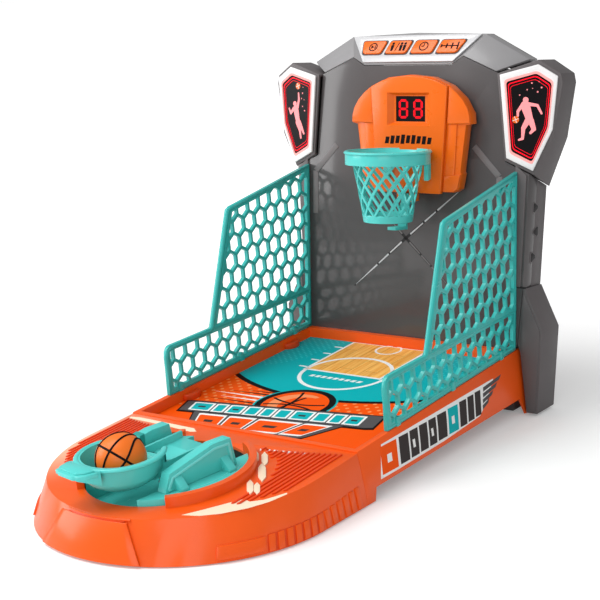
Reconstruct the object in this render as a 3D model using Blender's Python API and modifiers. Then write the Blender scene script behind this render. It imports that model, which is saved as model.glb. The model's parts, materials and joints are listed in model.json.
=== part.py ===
"""Tabletop basketball hoop machine: a sprung launcher on a swivel, a netted court and a moving hoop."""
import math

import bmesh
import bpy

MM = 0.001

# Driving dimensions, in metres
SLOPE = math.radians(3.7)            # the court rises towards the back
LEAN = math.radians(4.0)             # the tower leans back
RAIL_TOP_REAR = 52.0 * MM            # height of the side rails where they meet the tower
WALL_FOOT = 7.0 * MM                 # the tower's front plane meets the ground this far ahead of y = 0
HALF_WIDTH_TOP = 101.0 * MM          # base, along the rails
HALF_WIDTH_FOOT = 108.0 * MM         # base, at the ground
SEAM_Y = -230.0 * MM                 # joint between the front and the rear moulding
NOSE_TOP_Y = -277.0 * MM             # centre of the rounded front, at deck level
NOSE_FOOT_Y = -282.5 * MM            # and at the ground
DECK_DROP = 1.0 * MM                 # the front deck lies this far under the rail line
WALL = 2.0 * MM                      # moulded wall thickness
GAP = 0.3 * MM                       # clearance between neighbouring pieces
SKIRT_LIFT = 1.0 * MM                # skirts stop this far above the ground
CHEEK_TOP_Y = 6.0 * MM               # the base's sides run on beside the tower to here at the rails
CHEEK_FOOT_Y = 14.5 * MM             # and to here at the ground
COVER_INSET = (HALF_WIDTH_FOOT - HALF_WIDTH_TOP) / 2 + 1.5 * MM
FOOT_RADIUS = 6.0 * MM
GRIP_PROUD = 0.75 * MM               # the grip panel's inner face off the skirt
GRIP_THICK = 1.5 * MM

TRAY_DEPTH = 8.9 * MM                # court floor under the rail line
TRAY_HALF = 96.3 * MM
TRAY_FRONT = -225.4 * MM
TRAY_REAR = -8.5 * MM

NET_X = 98.8 * MM
NET_THICK = 3.0 * MM
NET_FRAME = 4.2 * MM
NET_PITCH = 14.5 * MM                # between cells of a row
NET_ROW = 13.3 * MM                  # between rows
NET_STRAND = 2.1 * MM
NET_LOW_FRONT = 38.5 * MM            # height of the low part at its front
NET_LOW_REAR = 34.0 * MM
NET_TALL_FRONT = 126.5 * MM
NET_TALL_REAR = 138.5 * MM
NET_LENGTH = 190.0 * MM
NET_STEP_FOOT = -133.0 * MM          # where the tall part starts, at the mid bar
NET_STEP_TOP = -98.0 * MM            # and at the top

SWIVEL_Y = -307.0 * MM               # turntable centre, along the slope
SWIVEL_REST = math.radians(-11.0)
TURN_RADIUS = 54.5 * MM
TURN_TOP = 3.0 * MM
TURN_FLOOR = -12.5 * MM
TURN_BOTTOM = -15.2 * MM
CHANNEL_HALF = 28.5 * MM
HUB_RADIUS = 3.0 * MM
RIM_THICK = 5.0 * MM
RIM_HEIGHT = 6.0 * MM
GUARD_THICK = 8.0 * MM
PIVOT_Y = 14.0 * MM
PIVOT_Z = 7.5 * MM
PIN_RADIUS = 1.5 * MM
PIN_CLEAR = 0.1 * MM
CUP_Y = -35.0 * MM
CUP_RIM_RADIUS = CHANNEL_HALF + 0.5 * MM
CUP_RIM_Z = 18.0 * MM
CUP_FLOOR_Z = 3.5 * MM
TROUGH_HALF = 17.0 * MM
BALL_RADIUS = 17.0 * MM
SPRING_Y = -3.0 * MM
SPRING_RADIUS = 4.0 * MM
SPRING_WIRE = 0.6 * MM

TOWER_DEPTH = 30.0 * MM
TOWER_SPLIT = 14.0 * MM              # depth of the front half
TOWER_LIFT = 2.3 * MM
TOWER_FOOT_HALF = 98.0 * MM
PILLAR_FOOT = (105.2 * MM, 101.0 * MM)
PILLAR_HEAD = (109.6 * MM, 190.0 * MM)
HEADER_LOW = 274.0 * MM
HEADER_TOP = 299.0 * MM
HEADER_BACK = 16.0 * MM              # the panel's upper edge lies this far behind its lower edge
PANEL_THICK = 1.6 * MM
HEAD_SPLAY = math.radians(11.0)
HEAD_DROP = 11.0 * MM                # the heads reach this much lower at the rear
HEAD_SEAT = 205.0 * MM               # everything on them below this height is lowered

HOOP_REST_X = 11.5 * MM              # the hoop starts right of the middle
HOOP_TRAVEL = 26.0 * MM              # to each side of the middle
BOARD_FACE = 13.5 * MM               # in front of the tower's front plane
BOARD_BACK = 2.5 * MM
BOARD_WALL = 1.8 * MM
RING_RADIUS = 33.4 * MM
RING_OUT = BOARD_FACE + RING_RADIUS + 0.1 * MM
RING_TOP_H = 208.5 * MM
RING_HEIGHT = 8.0 * MM
BASKET_LOW_H = 160.0 * MM
BASKET_LOW_RADIUS = 19.2 * MM
BASKET_WALL = 1.5 * MM
BASKET_STRAND = 3.0 * MM
BASKET_STRANDS = 12
LEVER_H = 170.5 * MM
LEVER_OUT = 20.0 * MM
LEVER_PIN = 1.0 * MM

NECK_HALF = 9.0 * MM
NECK_H = (203.0 * MM, 215.0 * MM)
SLIDER_HALF = 33.0 * MM
SLIDER_H = (191.0 * MM, 226.0 * MM)
SLIDER_OUT = (-11.5 * MM, -4.0 * MM)
ROD_RADIUS = 2.0 * MM
ROD_H = (198.0 * MM, 220.0 * MM)
ROD_HALF = 68.0 * MM
ROD_END = 66.0 * MM
RACK_MODULE = 1.0 * MM
PINION_TEETH = 12
BACKLASH = 0.25 * MM
MOTOR_RADIUS = 10.0 * MM

BUTTON_WIDTH = 17.5 * MM
BUTTON_HEIGHT = 9.5 * MM
BUTTON_PITCH = 20.0 * MM
BATTERY_HALF = 31.0 * MM
BATTERY_H = (70.0 * MM, 122.0 * MM)
SWITCH_PLACE = (52.0 * MM, 96.0 * MM)

ORANGE = (0.84, 0.12, 0.02)
TEAL = (0.05, 0.50, 0.47)
GREY = (0.10, 0.09, 0.09)
WHITE = (0.85, 0.85, 0.85)
BLACK = (0.01, 0.01, 0.012)
STEEL = (0.60, 0.60, 0.62)
GREEN = (0.02, 0.20, 0.08)


def clear_scene():
    for item in list(bpy.data.objects):
        bpy.data.objects.remove(item, do_unlink=True)


clear_scene()
PARTS = bpy.data.collections.new("basketball_hoop_machine")
CUTTERS = bpy.data.collections.new("cutters")
for group in (PARTS, CUTTERS):
    bpy.context.scene.collection.children.link(group)


def material(name, colour, roughness=0.4, metallic=0.0):
    made = bpy.data.materials.new(name)
    made.use_nodes = True
    shader = made.node_tree.nodes["Principled BSDF"]
    shader.inputs["Base Color"].default_value = (*colour, 1.0)
    shader.inputs["Roughness"].default_value = roughness
    shader.inputs["Metallic"].default_value = metallic
    return made


def frame(name, parent=None, at=(0, 0, 0), turn=(0, 0, 0)):
    """An empty that carries pieces; its location is a joint axis or a datum."""
    empty = bpy.data.objects.new(name, None)
    empty.location = at
    empty.rotation_euler = turn
    empty.parent = parent
    PARTS.objects.link(empty)
    return empty


def place(name, mesh, parent, colour=None, roughness=0.4, metallic=0.0, at=(0, 0, 0), turn=(0, 0, 0)):
    """A sub-part with its own material, or a cutter when no colour is given."""
    piece = bpy.data.objects.new(name, mesh)
    piece.parent = parent
    piece.location = at
    piece.rotation_euler = turn
    if colour is None:
        CUTTERS.objects.link(piece)
        piece.hide_render = True
        piece.display_type = "WIRE"
    else:
        PARTS.objects.link(piece)
        mesh.materials.append(material(name, colour, roughness, metallic))
    return piece


def modifier(piece, kind, **values):
    made = piece.modifiers.new(kind.lower(), kind)
    for key, value in values.items():
        setattr(made, key, value)
    return made


def cut(piece, cutter, solver="EXACT"):
    modifier(piece, "BOOLEAN", operation="DIFFERENCE", solver=solver, object=cutter)


def fuse(piece, addition, solver="EXACT"):
    modifier(piece, "BOOLEAN", operation="UNION", solver=solver, object=addition)


def thickened(piece, wall):
    modifier(piece, "SOLIDIFY", thickness=wall, offset=-1.0, use_even_offset=True)


def mirrored(points):
    """The outline of a half given from the bottom up at +X, closed by its mirror image."""
    return list(points) + [(-x, y) for x, y in reversed(points) if x > 1e-9]


def circle(radius, count, at=(0.0, 0.0), start=0.0):
    steps = [start + 2 * math.pi * i / count for i in range(count)]
    return [(at[0] + radius * math.cos(a), at[1] + radius * math.sin(a)) for a in steps]


def arc(radius, first, last, count, at=(0.0, 0.0)):
    steps = [first + (last - first) * i / count for i in range(count + 1)]
    return [(at[0] + radius * math.cos(a), at[1] + radius * math.sin(a)) for a in steps]


def box_outline(half, low, high):
    return [(-half, low), (half, low), (half, high), (-half, high)]


def prism(outline, low, high, holes=()):
    """A flat outline with holes, filled as a 2D curve and raised from low to high."""
    curve = bpy.data.curves.new("outline", "CURVE")
    curve.dimensions = "2D"
    curve.fill_mode = "BOTH"
    curve.extrude = (high - low) / 2
    for ring in [outline, *holes]:
        spline = curve.splines.new("POLY")
        spline.points.add(len(ring) - 1)
        spline.use_cyclic_u = True
        for point, (x, y) in zip(spline.points, ring):
            point.co = (x, y, 0.0, 1.0)
    guide = bpy.data.objects.new("outline", curve)
    CUTTERS.objects.link(guide)
    graph = bpy.context.evaluated_depsgraph_get()
    mesh = bpy.data.meshes.new_from_object(guide.evaluated_get(graph))
    bpy.data.objects.remove(guide, do_unlink=True)
    bpy.data.curves.remove(curve)
    shape = bmesh.new()
    shape.from_mesh(mesh)
    bmesh.ops.remove_doubles(shape, verts=shape.verts, dist=1e-6)
    bmesh.ops.translate(shape, verts=shape.verts, vec=(0, 0, (high + low) / 2))
    bmesh.ops.recalc_face_normals(shape, faces=shape.faces)
    shape.to_mesh(mesh)
    shape.free()
    return mesh


def side_prism(outline, left, right, holes=()):
    """A prism whose outline is in (y, z) and which runs along x."""
    mesh = prism(outline, left, right, holes)
    for vertex in mesh.vertices:
        y, z, x = vertex.co
        vertex.co = (x, y, z)
    return mesh


def loft(rings, cap_first=False, cap_last=True, open_side=None):
    """A surface through rings of equal length, each a closed list of points."""
    shape = bmesh.new()
    loops = []
    for ring in rings:
        points = [shape.verts.new(point) for point in ring]
        loops.append([shape.edges.new((a, b)) for a, b in zip(points, points[1:] + points[:1])])
    for lower, upper in zip(loops, loops[1:]):
        for i, (a, b) in enumerate(zip(lower, upper)):
            if i != open_side:
                shape.faces.new((a.verts[0], a.verts[1], b.verts[1], b.verts[0]))
    for wanted, loop in ((cap_first, loops[0]), (cap_last, loops[-1])):
        if wanted:
            bmesh.ops.contextual_create(shape, geom=loop)
    bmesh.ops.recalc_face_normals(shape, faces=shape.faces)
    mesh = bpy.data.meshes.new("loft")
    shape.to_mesh(mesh)
    shape.free()
    return mesh


def flip(mesh):
    mesh.flip_normals()
    return mesh


def cylinder(radius, low, high, count=24):
    shape = bmesh.new()
    bmesh.ops.create_cone(shape, cap_ends=True, segments=count, radius1=radius, radius2=radius,
                          depth=high - low)
    bmesh.ops.translate(shape, verts=shape.verts, vec=(0, 0, (high + low) / 2))
    mesh = bpy.data.meshes.new("cylinder")
    shape.to_mesh(mesh)
    shape.free()
    return mesh


def turned_piece(name, profile, parent, colour=None, count=48, at=(0, 0, 0), turn=(0, 0, 0)):
    """A closed profile in (radius, height) swept round +Z with a Screw modifier."""
    points = [(r, 0.0, z) for r, z in profile]
    mesh = bpy.data.meshes.new(name)
    mesh.from_pydata(points, [(i, (i + 1) % len(points)) for i in range(len(points))], [])
    piece = place(name, mesh, parent, colour, at=at, turn=turn)
    modifier(piece, "SCREW", steps=count, render_steps=count, use_merge_vertices=True,
             merge_threshold=1e-5, use_normal_calculate=False, use_smooth_shade=True)
    return piece


def deck_z(y, drop=0.0):
    """Height above ground of the rail line, or of a plane under it."""
    return RAIL_TOP_REAR + y * math.tan(SLOPE) - drop / math.cos(SLOPE)


def wall_h(out, z):
    """Height along the tower that lies z above the ground, out in front of its plane."""
    return (z - out * math.sin(LEAN)) / math.cos(LEAN)


NOSE_RISE = deck_z(NOSE_TOP_Y - HALF_WIDTH_TOP, DECK_DROP) - SKIRT_LIFT
NOSE_RUN = (NOSE_TOP_Y - HALF_WIDTH_TOP) - (NOSE_FOOT_Y - HALF_WIDTH_FOOT)
NOSE_SKIN = GRIP_PROUD + GRIP_THICK * NOSE_RISE / math.hypot(NOSE_RISE, NOSE_RUN)
NOSE_REACH = HALF_WIDTH_FOOT - NOSE_FOOT_Y + NOSE_SKIN - GAP * NOSE_RUN / NOSE_RISE
REAR_REACH = -WALL_FOOT + HEADER_TOP * math.sin(LEAN) + TOWER_DEPTH * math.cos(LEAN)
MACHINE = frame("machine", at=(0, (NOSE_REACH - REAR_REACH) / 2, 0))
DECK = frame("deck_frame", MACHINE, (0, 0, RAIL_TOP_REAR), (SLOPE, 0, 0))
TOWER = frame("tower_frame", MACHINE, (0, -WALL_FOOT, 0), (math.pi / 2 - LEAN, 0, 0))
SWIVEL = frame("swivel_axis", DECK, (0, SWIVEL_Y, 0), (0, 0, SWIVEL_REST))
ARM = frame("arm_axis", SWIVEL, (0, PIVOT_Y, PIVOT_Z))
CARRIAGE = frame("hoop_carriage", TOWER, (HOOP_REST_X, 0, 0))
LEVER = frame("lever_axis", CARRIAGE, (0, LEVER_H, LEVER_OUT))


def nose_ring(half, centre, height, inset=0.0, seam=SEAM_Y):
    """The base's front outline: two straight sides and a half circle."""
    around = arc(half - inset, math.pi, 2 * math.pi, 36, (0.0, centre))
    points = [(-half + inset, seam), *around, (half - inset, seam)]
    return [(x, y, height(y)) for x, y in points]


def base_front():
    foot = nose_ring(HALF_WIDTH_FOOT, NOSE_FOOT_Y, lambda y: SKIRT_LIFT)
    top = nose_ring(HALF_WIDTH_TOP, NOSE_TOP_Y, lambda y: deck_z(y, DECK_DROP))
    housing = place("front_housing", loft([foot, top]), MACHINE, ORANGE)
    thickened(housing, WALL)
    hole = TURN_RADIUS + 3 * GAP
    for name, first, last in (("rim_right", -50, 62), ("rim_left", 118, 232)):
        sweep = [math.radians(first), math.radians(last)]
        outline = arc(hole + RIM_THICK, *sweep, 24) + arc(hole, *reversed(sweep), 24)
        rim = prism(outline, -DECK_DROP - WALL / 2, RIM_HEIGHT)
        fuse(housing, place(name, rim, DECK, at=(0, SWIVEL_Y, 0)))
    bore = cylinder(hole, -20 * MM, 4 * RIM_HEIGHT, 72)
    cut(housing, place("turntable_hole", bore, DECK, at=(0, SWIVEL_Y, 0)))

    rows = []
    for span, height in ((22.6, SKIRT_LIFT + GAP), (15.4, SKIRT_LIFT + NOSE_RISE - 2 * MM)):
        share = (height - SKIRT_LIFT) / NOSE_RISE
        centre = NOSE_FOOT_Y + share * (NOSE_TOP_Y - NOSE_FOOT_Y)
        radius = HALF_WIDTH_FOOT + share * (HALF_WIDTH_TOP - HALF_WIDTH_FOOT) + GRIP_PROUD
        sweep = [math.radians(-90 - span), math.radians(-90 + span)]
        rows.append([(x, y, height) for x, y in arc(radius, *sweep, 12, (0.0, centre))])
    shape = bmesh.new()
    low, high = [[shape.verts.new(p) for p in row] for row in rows]
    for i in range(len(low) - 1):
        shape.faces.new((low[i], low[i + 1], high[i + 1], high[i]))
    mesh = bpy.data.meshes.new("grip")
    shape.to_mesh(mesh)
    shape.free()
    grip = place("front_grip_panel", mesh, MACHINE, ORANGE)
    modifier(grip, "SOLIDIFY", thickness=GRIP_THICK, offset=1.0, use_even_offset=True)

    cover = nose_ring(HALF_WIDTH_FOOT, NOSE_FOOT_Y, lambda y: 0.0, COVER_INSET, SEAM_Y - WALL - 2 * GAP)
    outline = [(x, y) for x, y, z in cover]
    place("front_bottom_cover", prism(outline, 3.3 * MM, 5.0 * MM), MACHINE, BLACK, 0.6)
    for i, (x, y) in enumerate(((-70 * MM, -320 * MM), (70 * MM, -320 * MM)), 1):
        pad = cylinder(FOOT_RADIUS, 0.0, 3.3 * MM - GAP)
        place(f"rubber_foot_{i}", pad, MACHINE, BLACK, 0.9, at=(x, y, 0))

    inner = TURN_RADIUS + 1.8 * MM
    under = -DECK_DROP - WALL - GAP
    floor = TURN_BOTTOM - GAP
    bore = HUB_RADIUS + PIN_CLEAR
    well = [(inner + 6 * MM, under), (inner + 6 * MM, under - WALL), (inner + WALL, under - WALL),
            (inner + WALL, floor - WALL), (bore, floor - WALL), (bore, floor), (inner, floor),
            (inner, under)]
    turned_piece("launcher_well", well, DECK, GREY, 48, at=(0, SWIVEL_Y, 0))


def base_rear():
    def ring(half, front, rear, height):
        return [(x, y, height(y)) for x, y in ((-half, front), (half, front), (half, rear), (-half, rear))]

    seam = SEAM_Y + GAP
    rings = [
        ring(HALF_WIDTH_FOOT, seam, CHEEK_FOOT_Y, lambda y: SKIRT_LIFT),
        ring(HALF_WIDTH_TOP, seam, CHEEK_TOP_Y, deck_z),
        ring(TRAY_HALF, TRAY_FRONT, TRAY_REAR, deck_z),
        ring(TRAY_HALF, TRAY_FRONT, TRAY_REAR, lambda y: deck_z(y, TRAY_DEPTH)),
    ]
    base = place("rear_base", loft(rings), MACHINE, ORANGE)
    thickened(base, WALL)
    clearance = prism(box_outline(TOWER_FOOT_HALF + 2 * GAP, -50 * MM, 80 * MM), -2 * TOWER_DEPTH, GAP)
    cut(base, place("tower_seat", clearance, TOWER))
    arch = [(-223.5 * MM, -5 * MM), (-217 * MM, 9.3 * MM), (-10.5 * MM, 14.2 * MM), (-1.5 * MM, -5 * MM)]
    reach = HALF_WIDTH_FOOT + 10 * MM
    cut(base, place("side_arch", side_prism(arch, -reach, reach), MACHINE))

    low = TRAY_DEPTH - GAP
    sheet = box_outline(TRAY_HALF - 2 * GAP, (TRAY_FRONT + 1 * MM) / math.cos(SLOPE), TRAY_REAR - 1 * MM)
    place("court_sheet", prism(sheet, -low, -low + 0.5 * MM), DECK, TEAL, 0.3)


def clip_convex(points, region):
    """The part of a polygon inside a convex region given anticlockwise."""
    for a, b in zip(region, region[1:] + region[:1]):
        def side(p):
            return (b[0] - a[0]) * (p[1] - a[1]) - (b[1] - a[1]) * (p[0] - a[0])
        kept = []
        for p, q in zip(points, points[1:] + points[:1]):
            if side(p) >= 0:
                kept.append(p)
            if (side(p) >= 0) != (side(q) >= 0):
                share = side(p) / (side(p) - side(q))
                kept.append((p[0] + share * (q[0] - p[0]), p[1] + share * (q[1] - p[1])))
        points = kept
        if not points:
            break
    return points


def area(points):
    return sum(a[0] * b[1] - b[0] * a[1] for a, b in zip(points, points[1:] + points[:1])) / 2


def net_cells(region, least=8e-6):
    """Elongated six-sided holes in staggered rows, trimmed by a convex region."""
    half = (NET_PITCH - NET_STRAND) / 2
    rise = NET_ROW - NET_STRAND * 1.1
    point = half * 0.62
    side = rise - point
    cell = [(half, -side / 2), (half, side / 2), (0, side / 2 + point), (-half, side / 2),
            (-half, -side / 2), (0, -side / 2 - point)]
    low = (min(p[0] for p in region), min(p[1] for p in region))
    high = (max(p[0] for p in region), max(p[1] for p in region))
    holes = []
    for row in range(-1, int((high[1]) / NET_ROW) + 2):
        for column in range(int(low[0] / NET_PITCH) - 2, int(high[0] / NET_PITCH) + 3):
            x = (column + 0.5 * (row % 2)) * NET_PITCH
            y = (row + 0.15) * NET_ROW + x * -0.01
            hole = clip_convex([(x + a, y + b) for a, b in cell], region)
            if len(hole) > 2 and area(hole) > least:
                holes.append(hole)
    return holes


def net_panels():
    lean = math.tan(LEAN + SLOPE)
    foot = 0.3 * MM

    def rear(z):
        return -4.2 * MM + z * lean

    corner = arc(6 * MM, math.pi, math.pi / 2, 4, (-NET_LENGTH + 6 * MM, NET_LOW_FRONT - 6 * MM))
    outline = [
        (-NET_LENGTH - 1.5 * MM, foot), (rear(foot), foot), (rear(NET_TALL_REAR), NET_TALL_REAR),
        (NET_STEP_TOP + 2 * MM, NET_TALL_FRONT), (NET_STEP_TOP - 1.2 * MM, NET_TALL_FRONT - 3 * MM),
        (NET_STEP_FOOT, NET_LOW_FRONT - 1.2 * MM), *reversed(corner),
    ]
    f = NET_FRAME
    low_region = [
        (-NET_LENGTH + f, foot + f), (rear(0) - f, foot + f),
        (rear(NET_LOW_REAR) - f, NET_LOW_REAR - f), (-NET_LENGTH + f, NET_LOW_FRONT - f),
    ]
    tall_region = [
        (NET_STEP_FOOT + f * 1.2, NET_LOW_FRONT - 0.8 * MM),
        (rear(NET_LOW_REAR) - f, NET_LOW_REAR + 0.6 * MM),
        (rear(NET_TALL_REAR) - f, NET_TALL_REAR - f * 1.1), (NET_STEP_TOP + f, NET_TALL_FRONT - f * 1.1),
    ]
    holes = net_cells(low_region) + net_cells(tall_region)
    for name, x in (("net_panel_left", -NET_X), ("net_panel_right", NET_X)):
        mesh = side_prism(outline, x - NET_THICK / 2, x + NET_THICK / 2, holes)
        place(name, mesh, DECK, TEAL, 0.35)


def tower_half_outline(inset=0.0):
    """Half of the tower's outline in (x, height), from the ground up."""
    return [
        (TOWER_FOOT_HALF - inset, 0.0), (TOWER_FOOT_HALF - inset, 53 * MM), (100.6 * MM - inset, 55 * MM),
        (PILLAR_FOOT[0] - inset, PILLAR_FOOT[1]), (PILLAR_HEAD[0] - inset, PILLAR_HEAD[1] - inset),
        (89.0 * MM - inset, 199 * MM - inset), (82.4 * MM - inset, 266.5 * MM - inset),
        (80.4 * MM - inset, 267.4 * MM - inset), (51.5 * MM, 279.6 * MM - inset),
        (41.2 * MM, HEADER_LOW - 0.8 * MM - inset),
    ]


def tower_ring(out):
    """The tower's outline at one depth; its foot is level and its shoulders fall towards the rear."""
    ring = []
    for x, h in mirrored(tower_half_outline()):
        if h == 0:
            h = wall_h(out, TOWER_LIFT)
        elif PILLAR_FOOT[1] < h < HEAD_SEAT:
            h += HEAD_DROP * out / TOWER_DEPTH
        ring.append((x, h, out))
    return ring


def hollow(name, rings, parent, colour, wall=WALL, roughness=0.4):
    piece = place(name, loft(rings), parent, colour, roughness)
    thickened(piece, wall)
    return piece


def cut_box(piece, name, parent, half, low, high, out_low, out_high, x=0.0, solver="EXACT"):
    outline = [(x + a, b) for a, b in box_outline(half, low, high)]
    cut(piece, place(name, prism(outline, out_low, out_high), parent), solver)


def fuse_box(piece, name, parent, left, right, low, high, out_low, out_high, solver="EXACT"):
    outline = [(left, low), (right, low), (right, high), (left, high)]
    fuse(piece, place(name, prism(outline, out_low, out_high), parent), solver)


def tower():
    front = hollow("tower_front", [tower_ring(-TOWER_SPLIT), tower_ring(0.0)], TOWER, GREY)
    for side in (-1, 1):
        ends = sorted((side * (ROD_END - 1 * MM), side * (ROD_END + 6 * MM)))
        fuse_box(front, "rod_block", TOWER, *ends, *SLIDER_H, SLIDER_OUT[0], -WALL / 2)
    for height in ROD_H:
        rod = cylinder(ROD_RADIUS + PIN_CLEAR, -ROD_HALF - GAP, ROD_HALF + GAP)
        middle = sum(SLIDER_OUT) / 2
        seat = place("rod_seat", rod, TOWER, at=(0, height, middle), turn=(0, math.pi / 2, 0))
        cut(front, seat, "MANIFOLD")
    slot_half = HOOP_TRAVEL + NECK_HALF + 0.8 * MM
    slot_h = (NECK_H[0] - 0.5 * MM, NECK_H[1] + 0.5 * MM)
    cut_box(front, "hoop_slot", TOWER, slot_half, *slot_h, -2 * WALL, WALL, solver="MANIFOLD")

    back = hollow("tower_back", [tower_ring(-TOWER_SPLIT - GAP), tower_ring(-TOWER_DEPTH)], TOWER, GREY)
    hole_half = BATTERY_HALF - 2 * MM
    low, high = BATTERY_H[0] + 2 * MM, BATTERY_H[1] - 2 * MM
    through = (-TOWER_DEPTH - WALL, -TOWER_DEPTH + 2 * WALL)
    cut_box(back, "battery_opening", TOWER, hole_half, low, high, *through)
    x, h = SWITCH_PLACE
    cut_box(back, "switch_slot", TOWER, 5.2 * MM, h - 1.8 * MM, h + 1.8 * MM, *through, x)
    for i in range(4):
        step = 226 * MM + 6 * MM * i
        cut_box(back, "speaker_slot", TOWER, 9 * MM, step, step + 2.5 * MM, *through, 55 * MM)
    inside = -TOWER_DEPTH + WALL + GAP
    door = prism(box_outline(hole_half - GAP, low + GAP, high - GAP), -TOWER_DEPTH, inside - 2 * GAP)
    place("battery_door", door, TOWER, GREY, 0.5)
    case = box_outline(BATTERY_HALF, *BATTERY_H)
    rings = [[(a, b, out) for a, b in case] for out in (inside, -12 * MM)]
    hollow("battery_box", rings, TOWER, BLACK, 1.6 * MM, 0.6)
    button = prism(box_outline(2.2 * MM, -1.5 * MM, 1.5 * MM), -TOWER_DEPTH - 1.6 * MM, inside + 1 * MM)
    knob = place("power_switch", button, TOWER, BLACK, 0.5, at=(x - 2.5 * MM, h, 0))
    fuse_box(knob, "switch_plate", knob, -9 * MM, 9 * MM, -4 * MM, 4 * MM, inside, inside + 2 * MM)
    cone = cylinder(13 * MM, inside, inside + 7 * MM, 32)
    place("speaker", cone, TOWER, BLACK, 0.6, at=(55 * MM, 236 * MM, 0))
    circuit = prism(box_outline(30 * MM, 222 * MM, 262 * MM), inside, inside + 1.6 * MM)
    place("main_board", circuit, TOWER, GREEN, at=(-22 * MM, 0, 0))

    for side, hand in ((-1, "left"), (1, "right")):
        tower_foot(side, hand)
        tower_head(side, hand)
    for i, side in ((3, -1), (4, 1)):
        pad = cylinder(FOOT_RADIUS, 0.0, TOWER_LIFT - GAP)
        place(f"rubber_foot_{i}", pad, MACHINE, BLACK, 0.9, at=(side * 80 * MM, 12 * MM, 0))


def tower_foot(side, hand):
    """The flared foot outside the base; it is open at its inner side."""
    def ring(out):
        low = wall_h(out, TOWER_LIFT)
        points = [
            (HALF_WIDTH_FOOT + 1.5 * MM, low), (119 * MM, low), (122.5 * MM, 69 * MM),
            (PILLAR_FOOT[0] + 1.6 * MM, PILLAR_FOOT[1]), (PILLAR_FOOT[0] + GAP, PILLAR_FOOT[1] - 0.5 * MM),
            (101.2 * MM, 56 * MM), (103.5 * MM, 50 * MM),
        ]
        return [(side * x, h, out) for x, h in points]
    rings = [ring(-TOWER_DEPTH + 1 * MM), ring(0.0)]
    foot = place(f"tower_foot_{hand}", loft(rings, True, True, len(rings[0]) - 1), TOWER, GREY)
    thickened(foot, WALL * 0.8)


def splay(x):
    """How far in front of the tower's plane a head's face lies at |x|."""
    return 4.0 * MM - (abs(x) - 84 * MM) * math.tan(HEAD_SPLAY)


def tower_head(side, hand):
    """The splayed head, open only where it meets the tower, and its shield-shaped badge."""
    outline = [(90 * MM, 200 * MM), (112.5 * MM, 189.5 * MM), (127.5 * MM, 217 * MM), (134 * MM, 259 * MM),
               (132.5 * MM, 266 * MM), (115.5 * MM, 276.5 * MM), (83.6 * MM, 266.4 * MM)]
    face = [(side * x, h, splay(x)) for x, h in outline]
    back = [(side * x, h - (HEAD_DROP if h < HEAD_SEAT else 0), -TOWER_DEPTH + 1 * MM) for x, h in outline]
    head = place(f"tower_head_{hand}", loft([back, face], True, True, len(face) - 1), TOWER, GREY)
    thickened(head, WALL)
    centre = (side * 109 * MM, 235 * MM, splay(109 * MM))
    front = frame(f"badge_frame_{hand}_datum", TOWER, centre, (0, side * HEAD_SPLAY, 0))
    shield = [(-17.5 * MM, -33 * MM), (3.5 * MM, -42.5 * MM), (18.5 * MM, -11 * MM), (22.2 * MM, 29 * MM),
              (7 * MM, 38 * MM), (-23.2 * MM, 30.5 * MM)]
    shield = [(side * x, y) for x, y in shield]
    inner = [(x * 0.80 + side * 0.2 * MM, y * 0.84 - 0.3 * MM) for x, y in shield]
    place(f"badge_bezel_{hand}", prism(shield, GAP, 2.2 * MM, [inner]), front, WHITE, 0.3)
    lens = [(x * 0.78 + side * 0.2 * MM, y * 0.825 - 0.3 * MM) for x, y in shield]
    place(f"badge_lens_{hand}", prism(lens, GAP, 1.4 * MM), front, BLACK, 0.1)


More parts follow.
